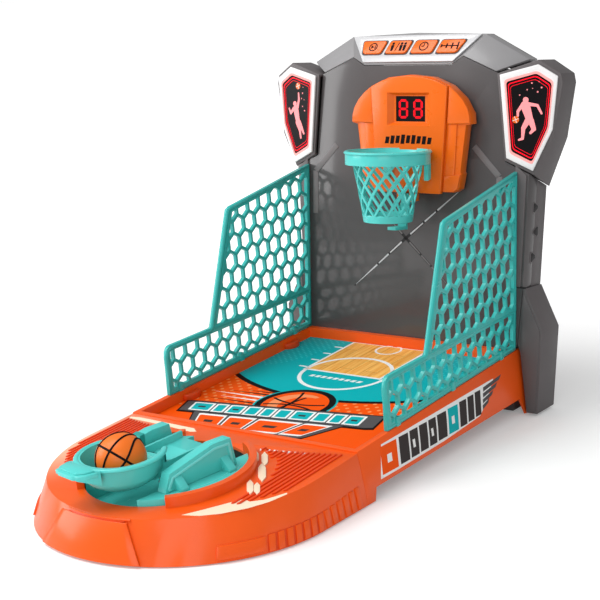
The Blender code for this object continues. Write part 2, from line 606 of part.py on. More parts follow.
def header():
    low_h, crest_x, crest_h = HEADER_LOW + GAP, 62.0 * MM, 297.0 * MM
    rise = crest_h - low_h
    crown_out = -HEADER_BACK * (HEADER_TOP - low_h) / rise
    inner = [
        (80.6 * MM, 268.4 * MM, 0.0), (51.5 * MM, 280.6 * MM, 0.0),
        (41.0 * MM, low_h, 0.0), (0.0, low_h, 0.0),
    ]
    outer = [
        (100.5 * MM, 276.8 * MM, -HEADER_BACK), (crest_x + 1.8 * MM, crest_h - 1 * MM, -HEADER_BACK),
        (crest_x, crest_h, -HEADER_BACK), (0.0, HEADER_TOP, crown_out),
    ]
    back = [(x, h, -TOWER_DEPTH) for x, h, out in outer]
    sill = [(x, h, -TOWER_DEPTH) for x, h, out in inner]
    rows = [half + [(-x, h, out) for x, h, out in reversed(half[:-1])] for half in (inner, outer, back, sill)]
    shape = bmesh.new()
    grid = [[shape.verts.new(point) for point in row] for row in rows]
    for low, high in zip(grid, grid[1:]):
        for i in range(len(low) - 1):
            shape.faces.new((low[i + 1], low[i], high[i], high[i + 1]))
    mesh = bpy.data.meshes.new("header")
    bmesh.ops.recalc_face_normals(shape, faces=shape.faces)
    if shape.faces[0].normal.z < 0:
        bmesh.ops.reverse_faces(shape, faces=shape.faces)
    shape.to_mesh(mesh)
    shape.free()
    cap = place("header_cap", mesh, TOWER, GREY)
    thickened(cap, 1.8 * MM)
    clearance = prism(mirrored(tower_half_outline(-GAP)), -2 * TOWER_DEPTH, WALL)
    cut(cap, place("tower_clearance", clearance, TOWER))

    tilt = math.atan2(HEADER_BACK, rise)
    panel_frame = frame("panel_frame", TOWER, (0, low_h, 0), (-tilt, 0, 0))
    length = math.hypot(HEADER_BACK, rise)
    foot, head = 1.2 * MM, length - 1 * MM
    sheet = [(-38.5 * MM, foot), (38.5 * MM, foot), (59 * MM, head), (-59 * MM, head)]
    middle = 15.5 * MM
    centres = [(i - 1.5) * BUTTON_PITCH for i in range(4)]
    slant = 3.0 * MM

    def button_outline(x, grow):
        w, t = BUTTON_WIDTH / 2 + grow, BUTTON_HEIGHT / 2 + grow
        left = slant * (-1 if x < -BUTTON_PITCH else 1) * 0.5
        right = slant * (2 if x > BUTTON_PITCH else 1) * 0.5
        return [(x - w - left, middle - t), (x + w - right, middle - t), (x + w + right, middle + t),
                (x - w + left, middle + t)]

    holes = [button_outline(x, 0.4 * MM) for x in centres]
    place("control_panel", prism(sheet, GAP, GAP + PANEL_THICK, holes), panel_frame, WHITE, 0.25, 0.2)
    for i, x in enumerate(centres, 1):
        cut(cap, place("button_hole", prism(button_outline(x, 0.4 * MM), -3 * MM, 1 * MM), panel_frame))
        cap_mesh = prism(button_outline(x, 0.0), -3.6 * MM, GAP + PANEL_THICK + 1.2 * MM)
        place(f"button_{i}", cap_mesh, panel_frame, ORANGE, 0.35)
    board = prism(box_outline(48 * MM, middle - 7 * MM, middle + 7 * MM), -6.8 * MM, -5.2 * MM)
    board = place("button_board", board, panel_frame, GREEN)
    for x in (-45.5 * MM, 45.5 * MM):
        post = cylinder(2 * MM, -6 * MM, -2.2 * MM)
        fuse(board, place("board_post", post, panel_frame, at=(x, middle, 0)))


def launcher():
    disc = place("turntable", cylinder(TURN_RADIUS, TURN_BOTTOM, TURN_TOP, 72), SWIVEL, TEAL)
    reach = 2 * TURN_RADIUS
    channel = prism(box_outline(CHANNEL_HALF, -reach, reach), TURN_FLOOR, 4 * RIM_HEIGHT)
    cut(disc, place("channel", channel, SWIVEL))
    pocket_x = CHANNEL_HALF + WALL
    pocket_r = TURN_RADIUS - WALL
    span = math.acos(pocket_x / pocket_r)
    for side in (0.0, math.pi):
        outline = arc(pocket_r, side - span, side + span, 20)
        cut(disc, place("pocket", prism(outline, TURN_BOTTOM - WALL, TURN_TOP - WALL), SWIVEL))
    well_bottom = TURN_BOTTOM - GAP - WALL
    fuse(disc, place("hub", cylinder(HUB_RADIUS, well_bottom - GAP, TURN_BOTTOM + WALL / 2), SWIVEL))
    screw_bore = cylinder(1.4 * MM, well_bottom - WALL, TURN_FLOOR - 0.8 * MM)
    cut(disc, place("hub_bore", screw_bore, SWIVEL))
    head = cylinder(5 * MM, well_bottom - 2 * GAP - 2 * MM, well_bottom - 2 * GAP)
    screw = place("hub_screw", head, SWIVEL, STEEL, 0.3, 1.0)
    shank = cylinder(1.25 * MM, well_bottom - 2 * MM, TURN_FLOOR - 1.2 * MM)
    fuse(screw, place("hub_shank", shank, SWIVEL))

    top = TURN_TOP + GAP
    side_view = [
        (-30 * MM, top), (30 * MM, top), (27 * MM, 22.5 * MM), (12 * MM, 23 * MM), (-25 * MM, 15 * MM),
    ]
    inner = CHANNEL_HALF + 0.5 * MM
    for side, hand in ((-1, "left"), (1, "right")):
        ends = sorted((side * inner, side * (inner + GUARD_THICK)))
        guard = place(f"guard_{hand}", side_prism(side_view, *ends), SWIVEL, TEAL)
        bore = cylinder(PIN_RADIUS + PIN_CLEAR, -inner - 5 * MM, inner + 5 * MM)
        seat = place("pin_seat", bore, SWIVEL, at=(0, PIVOT_Y, PIVOT_Z), turn=(0, math.pi / 2, 0))
        cut(guard, seat)
    pin = cylinder(PIN_RADIUS, -inner - 4.5 * MM, inner + 4.5 * MM)
    place("arm_pivot_pin", pin, SWIVEL, STEEL, 0.3, 1.0, (0, PIVOT_Y, PIVOT_Z), (0, math.pi / 2, 0))
    launch_arm()
    spring()
    ball = bpy.data.meshes.new("ball")
    shape = bmesh.new()
    bmesh.ops.create_uvsphere(shape, u_segments=24, v_segments=14, radius=BALL_RADIUS)
    shape.to_mesh(ball)
    shape.free()
    place("ball", ball, SWIVEL, ORANGE, 0.6, at=(0, CUP_Y, CUP_FLOOR_Z + BALL_RADIUS + GAP))


def launch_arm():
    """Cup, tab and trough in one moulding; its origin is on the pivot."""
    cup = (0, CUP_Y - PIVOT_Y, -PIVOT_Z)
    r, z0, z1 = CUP_RIM_RADIUS, CUP_FLOOR_Z, CUP_RIM_Z
    inner = r - 3.2 * MM
    steps = [i / 5 for i in range(6)]
    turns = [t * math.pi / 2 for t in steps]
    inside = [(inner * math.sin(a), z1 - (z1 - z0) * math.cos(a)) for a in turns]
    outside = [((inner + WALL) * math.sin(a), z1 - (z1 - z0 + WALL) * math.cos(a)) for a in turns[:-1]]
    flange = [(inner + WALL, z1 - 2 * MM), (r, z1 - 2 * MM), (r, z1)]
    tiny = 0.02 * MM
    inside[0] = (tiny, z0)
    outside[0] = (tiny, z0 - WALL)
    profile = [*reversed(inside), *outside, *flange]
    profile.reverse()
    arm = turned_piece("launch_arm", profile, ARM, TEAL, 36, at=cup)
    plug = place("cup_plug", cylinder(2 * tiny, z0 - WALL, z0, 12), ARM, at=cup)
    fuse(arm, plug, "MANIFOLD")
    floor = [(-23 * MM, 5.5 * MM), (43 * MM, 11 * MM), (43 * MM, 13 * MM), (-23 * MM, 7.5 * MM)]
    walls = [(-21 * MM, 6 * MM), (43 * MM, 11.5 * MM), (43 * MM, 21.5 * MM), (-15 * MM, 17.5 * MM)]
    datum = (0, -PIVOT_Y, -PIVOT_Z)
    half = TROUGH_HALF
    for name, outline, left, right in (("trough_floor", floor, -half, half),
                                       ("trough_left", walls, -half, -half + WALL),
                                       ("trough_right", walls, half - WALL, half)):
        fuse(arm, place(name, side_prism(outline, left, right), ARM, at=datum), "MANIFOLD")
    barrel = cylinder(3.3 * MM, -CHANNEL_HALF + 1 * MM, CHANNEL_HALF - 1 * MM)
    fuse(arm, place("pivot_barrel", barrel, ARM, turn=(0, math.pi / 2, 0)), "MANIFOLD")
    mouth = [(CUP_Y, 7.6 * MM), (-15 * MM, 8.4 * MM), (-15 * MM, 30 * MM), (CUP_Y, 30 * MM)]
    mouth = side_prism(mouth, -half + WALL, half - WALL)
    cut(arm, place("cup_mouth", mouth, ARM, at=datum), "MANIFOLD")
    bore = cylinder(PIN_RADIUS + PIN_CLEAR, -2 * half, 2 * half)
    cut(arm, place("pivot_bore", bore, ARM, turn=(0, math.pi / 2, 0)), "MANIFOLD")
    tab_rear, tab_front = CUP_Y - CUP_RIM_RADIUS + 2 * MM, CUP_Y - CUP_RIM_RADIUS - 13 * MM
    tab = [(-16 * MM, tab_rear), (-12 * MM, tab_front), (12 * MM, tab_front), (16 * MM, tab_rear)]
    tab = prism(tab, CUP_RIM_Z - 2.6 * MM, CUP_RIM_Z - 0.1 * MM)
    fuse(arm, place("thumb_tab", tab, ARM, at=datum), "MANIFOLD")


def spring():
    low = TURN_FLOOR + SPRING_WIRE + GAP
    high = 4.6 * MM
    turns, steps = 5, 10
    curve = bpy.data.curves.new("spring", "CURVE")
    curve.dimensions = "3D"
    curve.bevel_depth = SPRING_WIRE
    curve.bevel_resolution = 1
    curve.use_fill_caps = True
    line = curve.splines.new("POLY")
    count = turns * steps
    line.points.add(count)
    for i, point in enumerate(line.points):
        angle = 2 * math.pi * i / steps
        height = low + (high - low) * i / count
        point.co = (SPRING_RADIUS * math.cos(angle), SPRING_RADIUS * math.sin(angle), height, 1.0)
    made = bpy.data.objects.new("launch_spring", curve)
    made.parent = SWIVEL
    made.location = (0, SPRING_Y, 0)
    curve.materials.append(material("launch_spring", STEEL, 0.3, 1.0))
    modifier(made, "WELD", merge_threshold=1e-6)
    PARTS.objects.link(made)


def board_outline(inset=0.0):
    """Half of the backboard's outline in (x, height)."""
    half = [
        (40.0, 174.5), (44.0, 177.0), (46.5, 189.0), (45.5, 190.5), (50.3, 227.0), (54.8, 228.0),
        (54.2, 236.0), (47.5, 247.5), (36.0, 257.5), (20.0, 264.0), (0.0, 266.0),
    ]
    outline = []
    for x, h in half:
        shift = inset if h < 176 else -inset if h > 240 else 0
        outline.append((max(x * MM - inset, 0.0), h * MM + shift))
    return outline


def hoop():
    outline = mirrored(board_outline())
    rings = [[(x, h, out) for x, h in outline] for out in (BOARD_BACK + BOARD_WALL + GAP, BOARD_FACE)]
    board = hollow("hoop_board", rings, CARRIAGE, ORANGE, BOARD_WALL)
    through = (BOARD_FACE - 2 * BOARD_WALL, BOARD_FACE + WALL)
    cut_box(board, "display_opening", CARRIAGE, 13.6 * MM, 229.3 * MM, 249.3 * MM, *through)
    for left in (-7.4 * MM, 4.4 * MM):
        lug = (left, left + 3 * MM, 166.5 * MM, 176 * MM, BOARD_FACE - 1 * MM, LEVER_OUT + 2.5 * MM)
        fuse_box(board, "lever_lug", CARRIAGE, *lug)
    bore = cylinder(LEVER_PIN + PIN_CLEAR, -10 * MM, 10 * MM, 16)
    cut(board, place("lug_bore", bore, LEVER, turn=(0, math.pi / 2, 0)))
    back = mirrored(board_outline(1.0 * MM))
    place("hoop_board_back", prism(back, BOARD_BACK, BOARD_BACK + BOARD_WALL), CARRIAGE, ORANGE)
    window = box_outline(13.6 * MM - GAP, 229.3 * MM + GAP, 249.3 * MM - GAP)
    window = prism(window, BOARD_FACE - 1.6 * MM, BOARD_FACE - 0.6 * MM)
    place("display_window", window, CARRIAGE, BLACK, 0.05)
    module = box_outline(17 * MM, 226 * MM, 252.5 * MM)
    front = BOARD_FACE - BOARD_WALL - GAP
    place("display_module", prism(module, front - 4 * MM, front), CARRIAGE, BLACK, 0.4)
    pin = cylinder(LEVER_PIN, -7.2 * MM, 7.2 * MM, 16)
    place("lever_pin", pin, LEVER, STEEL, 0.3, 1.0, turn=(0, math.pi / 2, 0))
    arm = [(-1.8, 2.2), (-1.8, -4.5), (4.0, -12.0), (4.0, -26.0), (22.0, -25.0), (22.0, -22.5), (6.8, -23.0),
           (6.8, -11.5), (2.0, -4.5), (2.0, 2.2)]
    outline = [(out * MM, h * MM) for out, h in arm]
    lever = prism(outline, -3.8 * MM, 3.8 * MM)
    for vertex in lever.vertices:
        out, h, x = vertex.co
        vertex.co = (x, h, out)
    lever = place("score_lever", flip(lever), LEVER, TEAL)
    bore = cylinder(LEVER_PIN + PIN_CLEAR, -8 * MM, 8 * MM, 16)
    cut(lever, place("lever_bore", bore, LEVER, turn=(0, math.pi / 2, 0)))

    inner = RING_RADIUS - 2.4 * MM
    low = RING_TOP_H - RING_HEIGHT
    band = [(RING_RADIUS, RING_TOP_H), (RING_RADIUS, low), (inner, low), (inner, RING_TOP_H)]
    upright = (-math.pi / 2, 0, 0)
    ring = turned_piece("hoop_ring", band, CARRIAGE, TEAL, 48, at=(0, 0, RING_OUT), turn=upright)
    for side in (-1, 1):
        ends = sorted((side * 17 * MM, side * 21 * MM))
        bracket = (*ends, 186 * MM, RING_TOP_H - 0.4 * MM, BOARD_FACE + GAP, 21.0 * MM)
        fuse_box(ring, "ring_bracket", CARRIAGE, *bracket)
    basket(inner - 1.5 * GAP)


def basket(top_radius):
    """A tapered lattice of crossing strands between two bands."""
    top = RING_TOP_H - 1.5 * MM
    strand_top = RING_TOP_H - RING_HEIGHT
    strand_low = BASKET_LOW_H + 4 * MM
    rows = 5
    crossings = [strand_top + (strand_low - strand_top) * i / rows for i in range(rows + 1)]
    heights = [top, *crossings, BASKET_LOW_H]

    def radius(h):
        share = (top - h) / (top - BASKET_LOW_H)
        return top_radius + (BASKET_LOW_RADIUS - top_radius) * share ** 0.8

    shape = bmesh.new()
    count = BASKET_STRANDS
    rings = []
    for level, h in enumerate(heights):
        ring = []
        for i in range(2 * count):
            angle = math.pi * i / count
            ring.append(shape.verts.new((radius(h) * math.cos(angle), radius(h) * math.sin(angle), h)))
        rings.append(ring)

    def vert(level, i):
        return rings[level][i % (2 * count)]

    solid = []
    cells = []
    for i in range(2 * count):
        for level in (0, rows + 1):
            low = (vert(level + 1, i), vert(level + 1, i + 1))
            solid.append((vert(level, i), *low, vert(level, i + 1)))
    for level in range(1, rows + 1):
        for i in range(count):
            c = 2 * i + (level % 2)
            foot = vert(level + 2, c) if level < rows else vert(level + 1, c)
            cells.append((vert(level, c), vert(level + 1, c - 1), foot, vert(level + 1, c + 1)))
            if level == 1:
                cells.append((vert(1, c), vert(2, c + 1), vert(1, c + 2), vert(1, c + 1)))
    for face in solid:
        shape.faces.new(face)
    open_cells = [shape.faces.new(face) for face in cells]
    shape.normal_update()
    bmesh.ops.inset_individual(shape, faces=open_cells, thickness=BASKET_STRAND / 2)
    bmesh.ops.delete(shape, geom=open_cells, context="FACES")
    loose = [v for v in shape.verts if not v.link_faces]
    bmesh.ops.delete(shape, geom=loose, context="VERTS")
    mesh = bpy.data.meshes.new("basket")
    shape.to_mesh(mesh)
    shape.free()
    net = place("net_basket", mesh, CARRIAGE, TEAL, 0.35, at=(0, 0, RING_OUT), turn=(-math.pi / 2, 0, 0))
    modifier(net, "SOLIDIFY", thickness=BASKET_WALL, offset=-1.0)


def gear_outline(teeth, module):
    """A spur gear with straight-flanked teeth thinned by the backlash."""
    pitch = teeth * module / 2
    tip, root = pitch + 0.9 * module, pitch - 1.2 * module
    step = 2 * math.pi / teeth
    points = []
    for i in range(teeth):
        middle = i * step + math.pi / 2
        for radius, share in ((root, 0.36), (pitch, 0.25), (tip, 0.11)):
            points.append((radius, middle - share * step + BACKLASH / 2 / radius))
        for radius, share in ((tip, 0.11), (pitch, 0.25), (root, 0.36)):
            points.append((radius, middle + share * step - BACKLASH / 2 / radius))
    return [(r * math.cos(a), r * math.sin(a)) for r, a in points]


def drive():
    pitch_line = SLIDER_H[0] - 1.2 * RACK_MODULE
    radius = PINION_TEETH * RACK_MODULE / 2
    axis_h = pitch_line - radius
    tooth = math.pi * RACK_MODULE
    slope = math.tan(math.radians(20)) * RACK_MODULE
    count = int(2 * SLIDER_HALF / tooth) - 1
    first = (0.5 - (HOOP_REST_X / tooth) % 1.0) * tooth
    lowest = pitch_line - 0.9 * RACK_MODULE
    outline = [(-SLIDER_HALF, SLIDER_H[1]), (-SLIDER_HALF, SLIDER_H[0])]
    for i in range(-count // 2 + 1, count // 2):
        x = first + i * tooth
        base, tip = tooth / 4 + 1.2 * slope - BACKLASH / 2, tooth / 4 - 0.9 * slope - BACKLASH / 2
        outline += [(x - base, SLIDER_H[0]), (x - tip, lowest), (x + tip, lowest), (x + base, SLIDER_H[0])]
    outline += [(SLIDER_HALF, SLIDER_H[0]), (SLIDER_HALF, SLIDER_H[1])]
    slider = place("carriage_slider", prism(outline, *SLIDER_OUT), CARRIAGE, WHITE, 0.4)
    neck = (-NECK_HALF, NECK_HALF, *NECK_H, SLIDER_OUT[1] - 1 * MM, BOARD_BACK - GAP)
    fuse_box(slider, "neck", CARRIAGE, *neck, "MANIFOLD")
    middle = sum(SLIDER_OUT) / 2
    for i, height in enumerate(ROD_H):
        bore = cylinder(ROD_RADIUS + PIN_CLEAR, -2 * SLIDER_HALF, 2 * SLIDER_HALF)
        across = (0, math.pi / 2, 0)
        cut(slider, place("rod_bore", bore, CARRIAGE, at=(0, height, middle), turn=across))
        rod = cylinder(ROD_RADIUS, -ROD_HALF, ROD_HALF)
        name = ("rail_lower", "rail_upper")[i]
        place(name, rod, TOWER, STEEL, 0.25, 1.0, (0, height, middle), across)
    motor_front = SLIDER_OUT[0] - 2 * MM
    inside = -TOWER_DEPTH + WALL + GAP
    at = (0, axis_h, 0)
    can = cylinder(MOTOR_RADIUS, inside, motor_front, 32)
    motor = place("hoop_motor", can, TOWER, STEEL, 0.35, 1.0, at)
    shaft = cylinder(1.0 * MM, motor_front - 1 * MM, SLIDER_OUT[1] - 1 * MM)
    fuse(motor, place("motor_shaft", shaft, TOWER, at=at))
    bore = [circle(1.0 * MM + PIN_CLEAR, 16)]
    teeth = gear_outline(PINION_TEETH, RACK_MODULE)
    gear = prism(teeth, SLIDER_OUT[0] + GAP, SLIDER_OUT[1] - GAP, bore)
    place("drive_pinion", gear, TOWER, WHITE, 0.4, at=at)


base_front()
base_rear()
net_panels()
tower()
header()
launcher()
hoop()
drive()
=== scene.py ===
"""The looks of a tabletop basketball hoop machine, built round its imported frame."""
import json
import math

import bmesh
import bpy
from mathutils import Matrix, Vector

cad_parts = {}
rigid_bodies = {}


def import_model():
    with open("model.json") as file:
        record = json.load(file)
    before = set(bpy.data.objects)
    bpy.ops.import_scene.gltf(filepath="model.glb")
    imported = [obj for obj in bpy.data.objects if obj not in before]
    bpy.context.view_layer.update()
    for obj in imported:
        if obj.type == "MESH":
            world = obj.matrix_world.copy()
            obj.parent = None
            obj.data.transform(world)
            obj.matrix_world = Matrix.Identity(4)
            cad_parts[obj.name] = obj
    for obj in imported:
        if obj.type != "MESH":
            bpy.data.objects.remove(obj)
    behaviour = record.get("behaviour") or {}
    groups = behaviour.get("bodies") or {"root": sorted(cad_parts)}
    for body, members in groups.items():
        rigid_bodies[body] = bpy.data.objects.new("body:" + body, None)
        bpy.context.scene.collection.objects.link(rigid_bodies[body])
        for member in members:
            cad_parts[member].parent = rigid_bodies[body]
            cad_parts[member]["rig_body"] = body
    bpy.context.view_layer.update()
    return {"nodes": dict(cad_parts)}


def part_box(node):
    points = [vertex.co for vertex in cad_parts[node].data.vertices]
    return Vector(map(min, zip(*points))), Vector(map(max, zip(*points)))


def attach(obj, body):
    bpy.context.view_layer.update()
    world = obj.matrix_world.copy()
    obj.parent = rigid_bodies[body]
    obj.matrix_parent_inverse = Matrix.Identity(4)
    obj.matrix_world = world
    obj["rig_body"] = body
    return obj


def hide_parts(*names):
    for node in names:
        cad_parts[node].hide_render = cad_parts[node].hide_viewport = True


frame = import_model()
MM = 0.001

# The same datums as the moulded parts use, found from the front left rubber foot
foot_low, foot_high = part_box("rubber_foot_1")
MACHINE = Matrix.Translation((0, (foot_low.y + foot_high.y) / 2 + 320 * MM, 0))
SLOPE = math.radians(3.7)
RAIL_REAR = 52 * MM
DECK = MACHINE @ Matrix.Translation((0, 0, RAIL_REAR)) @ Matrix.Rotation(SLOPE, 4, "X")
TOWER = MACHINE @ Matrix.Translation((0, -7 * MM, 0)) @ Matrix.Rotation(math.radians(86), 4, "X")
TURNTABLE = DECK @ Matrix.Translation((0, -307 * MM, 0)) @ Matrix.Rotation(math.radians(-11), 4, "Z")
ARM = TURNTABLE @ Matrix.Translation((0, 14 * MM, 7.5 * MM))
HOOP = TOWER @ Matrix.Translation((11.5 * MM, 0, 0))
PANEL_LOW, PANEL_BACK = 274.3, 16.0
PANEL_RISE = 297.0 - PANEL_LOW
PANEL_TILT = math.atan2(PANEL_BACK, PANEL_RISE)
PANEL = TOWER @ Matrix.Translation((0, PANEL_LOW * MM, 0)) @ Matrix.Rotation(-PANEL_TILT, 4, "X")
HEAD_SPLAY = math.radians(11)


def badge(side):
    """The datum in the middle of one shield, on the splayed face of a tower head."""
    proud = 4 * MM - 25 * MM * math.tan(HEAD_SPLAY)
    seat = Matrix.Translation((side * 109 * MM, 235 * MM, proud))
    return TOWER @ seat @ Matrix.Rotation(side * HEAD_SPLAY, 4, "Y")


# ---------------------------------------------------------------- bench tools

def let_go():
    if bpy.context.mode != "OBJECT":
        bpy.ops.object.mode_set(mode="OBJECT")
    bpy.ops.object.select_all(action="DESELECT")


def hold(piece):
    let_go()
    piece.select_set(True)
    bpy.context.view_layer.objects.active = piece


def open_up(piece):
    hold(piece)
    bpy.ops.object.mode_set(mode="EDIT")
    bpy.ops.mesh.select_mode(type="FACE")
    bpy.ops.mesh.select_all(action="DESELECT")


def pick(piece, wanted):
    """In edit mode, selects the faces that pass a test of place or direction."""
    shape = bmesh.from_edit_mesh(piece.data)
    shape.normal_update()
    for face in shape.faces:
        face.select_set(bool(wanted(face)))
    bmesh.update_edit_mesh(piece.data)


def shut(piece):
    bpy.ops.object.mode_set(mode="OBJECT")
    return piece


def plate(name, outline, low, high):
    """A flat piece of any outline, from one height to another."""
    let_go()
    bpy.ops.mesh.primitive_circle_add(vertices=len(outline), fill_type="NGON")
    piece = bpy.context.object
    piece.name = name
    for corner, (x, y) in zip(piece.data.vertices, outline):
        corner.co = (x, y, low)
    bpy.ops.object.mode_set(mode="EDIT")
    bpy.ops.mesh.select_all(action="SELECT")
    bpy.ops.mesh.extrude_region_move(TRANSFORM_OT_translate={"value": (0, 0, high - low)})
    bpy.ops.mesh.select_all(action="SELECT")
    bpy.ops.mesh.normals_make_consistent(inside=False)
    return shut(piece)


def slab(name, outline, low, high):
    """A plate given in millimetres."""
    return plate(name, mm(outline), low * MM, high * MM)


def swung(piece, change):
    """Moves every corner of a piece as told, and turns its faces outward again."""
    for corner in piece.data.vertices:
        corner.co = change(*corner.co)
    open_up(piece)
    bpy.ops.mesh.select_all(action="SELECT")
    bpy.ops.mesh.normals_make_consistent(inside=False)
    return shut(piece)


def turned(name, profile, steps=48):
    """A closed profile in (radius, height) spun round the vertical."""
    let_go()
    bpy.ops.mesh.primitive_circle_add(vertices=len(profile), fill_type="NOTHING")
    piece = bpy.context.object
    piece.name = name
    for corner, (r, z) in zip(piece.data.vertices, profile):
        corner.co = (r, 0, z)
    bpy.ops.object.mode_set(mode="EDIT")
    bpy.ops.mesh.select_all(action="SELECT")
    bpy.ops.mesh.spin(steps=steps, angle=2 * math.pi, center=(0, 0, 0), axis=(0, 0, 1))
    bpy.ops.mesh.select_all(action="SELECT")
    bpy.ops.mesh.remove_doubles(threshold=1e-6)
    bpy.ops.mesh.dissolve_degenerate(threshold=1e-7)
    bpy.ops.mesh.delete_loose()
    bpy.ops.mesh.select_all(action="SELECT")
    bpy.ops.mesh.normals_make_consistent(inside=False)
    return shut(piece)


def wire(name, points, radius, closed=False, sides=2):
    """A round bar along a run of points."""
    line = bpy.data.curves.new(name, "CURVE")
    line.dimensions = "3D"
    line.bevel_depth = radius
    line.bevel_resolution = sides
    line.use_fill_caps = True
    run = line.splines.new("POLY")
    run.points.add(len(points) - 1)
    run.use_cyclic_u = closed
    for spot, place in zip(run.points, points):
        spot.co = (*place, 1)
    piece = bpy.data.objects.new(name, line)
    bpy.context.scene.collection.objects.link(piece)
    hold(piece)
    bpy.ops.object.convert(target="MESH")
    return bpy.context.object


def rounded(piece, width, segments=2, angle=30):
    hold(piece)
    edge = piece.modifiers.new("edge", "BEVEL")
    edge.width = width
    edge.segments = segments
    edge.limit_method = "ANGLE"
    edge.angle_limit = math.radians(angle)
    bpy.ops.object.modifier_apply(modifier=edge.name)
    return piece


def carve(piece, cutter):
    hold(piece)
    tool = piece.modifiers.new("tool", "BOOLEAN")
    tool.operation = "DIFFERENCE"
    tool.solver = "EXACT"
    tool.object = cutter
    bpy.ops.object.modifier_apply(modifier=tool.name)
    bpy.data.objects.remove(cutter, do_unlink=True)
    return piece


def join(name, pieces):
    let_go()
    for piece in pieces:
        piece.select_set(True)
    bpy.context.view_layer.objects.active = pieces[0]
    bpy.ops.object.join()
    pieces[0].name = name
    return pieces[0]


def settle(piece, where, finish, body, angle=32):
    """Puts a finished piece in its place, paints it, and hangs it on its body."""
    piece.matrix_world = where
    hold(piece)
    bpy.ops.object.transform_apply(location=True, rotation=True, scale=True)
    bpy.ops.object.shade_smooth_by_angle(angle=math.radians(angle))
    piece.data.materials.clear()
    piece.data.materials.append(finish)
    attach(piece, body)
    return piece


def body_of(node):
    return frame["nodes"][node]["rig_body"]


def copy_of(node, name):
    """A merged copy of a moulded part, its flat faces whole again."""
    piece = bpy.data.objects.new(name, frame["nodes"][node].data.copy())
    bpy.context.scene.collection.objects.link(piece)
    open_up(piece)
    bpy.ops.mesh.select_all(action="SELECT")
    bpy.ops.mesh.remove_doubles(threshold=2e-6)
    bpy.ops.mesh.dissolve_limited(angle_limit=math.radians(0.4))
    return shut(piece)


def moulding(node, finish, edge=0.4, segments=2, angle=30, shaping=None):
    """The part with its edges rounded, in place of the sharp one."""
    piece = copy_of(node, node + "_moulding")
    if shaping:
        shaping(piece)
    if edge:
        rounded(piece, edge * MM, segments, angle)
    settle(piece, Matrix.Identity(4), finish, body_of(node))
    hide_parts(node)
    return piece


def patch(name, source, wanted, cuts, thick, where, finish, body):
    """A thin print or panel that lies on a moulding: some of its faces, trimmed by planes and raised."""
    piece = bpy.data.objects.new(name, source.data.copy())
    bpy.context.scene.collection.objects.link(piece)
    open_up(piece)
    pick(piece, lambda face: not wanted(face))
    bpy.ops.mesh.delete(type="FACE")
    for spot, direction in cuts:
        bpy.ops.mesh.select_all(action="SELECT")
        bpy.ops.mesh.bisect(plane_co=where @ Vector(spot), plane_no=where.to_3x3() @ Vector(direction),
                            clear_outer=True, threshold=1e-7)
    shut(piece)
    hold(piece)
    skin = piece.modifiers.new("skin", "SOLIDIFY")
    skin.thickness = thick
    skin.offset = 1.0
    bpy.ops.object.modifier_apply(modifier=skin.name)
    return settle(piece, Matrix.Identity(4), finish, body)


def flipped(hand, points):
    """An outline drawn for the right side, or its mirror image for the left."""
    return points if hand > 0 else [(-x, y) for x, y in reversed(points)]


def arc(radius, first, last, count, at=(0.0, 0.0)):
    turns = [math.radians(first + (last - first) * i / count) for i in range(count + 1)]
    return [(at[0] + radius * math.cos(a), at[1] + radius * math.sin(a)) for a in turns]


def softened(outline, cut, steps=4):
    """The outline with its corners rounded off."""
    soft = []
    for i, spot in enumerate(outline):
        corner = Vector(spot)
        before = (Vector(outline[i - 1]) - corner)
        after = (Vector(outline[(i + 1) % len(outline)]) - corner)
        first = corner + before.normalized() * min(cut, before.length * 0.45)
        last = corner + after.normalized() * min(cut, after.length * 0.45)
        for step in range(steps + 1):
            t = step / steps
            soft.append(tuple(first * (1 - t) ** 2 + corner * 2 * t * (1 - t) + last * t * t))
    return soft


def mm(points):
    return [tuple(value * MM for value in point) for point in points]


# ---------------------------------------------------------------- finishes

def group(name, values, results):
    """An empty shader group with named sockets."""
    tree = bpy.data.node_groups.new(name, "ShaderNodeTree")
    for label, kind, value in values:
        socket = tree.interface.new_socket(name=label, in_out="INPUT", socket_type="NodeSocket" + kind)
        socket.default_value = value
    for label, kind in results:
        tree.interface.new_socket(name=label, in_out="OUTPUT", socket_type="NodeSocket" + kind)
    return tree, tree.nodes.new("NodeGroupInput"), tree.nodes.new("NodeGroupOutput")


def node(tree, kind, inputs=None, **settings):
    """Adds a node; its inputs are values or other nodes' outputs."""
    made = tree.nodes.new("ShaderNode" + kind)
    for key, value in settings.items():
        setattr(made, key, value)
    for key, value in (inputs or {}).items():
        if isinstance(value, bpy.types.NodeSocket):
            tree.links.new(value, made.inputs[key])
        else:
            made.inputs[key].default_value = value
    return made


def math_node(tree, operation, first, second=0.0):
    return node(tree, "Math", {0: first, 1: second}, operation=operation).outputs[0]


def blend_colour(tree, factor, first, second, kind="MIX"):
    mix = node(tree, "Mix", {"Factor": factor}, data_type="RGBA", blend_type=kind)
    for index, value in ((6, first), (7, second)):
        if isinstance(value, bpy.types.NodeSocket):
            tree.links.new(value, mix.inputs[index])
        else:
            mix.inputs[index].default_value = value
    return mix.outputs[2]


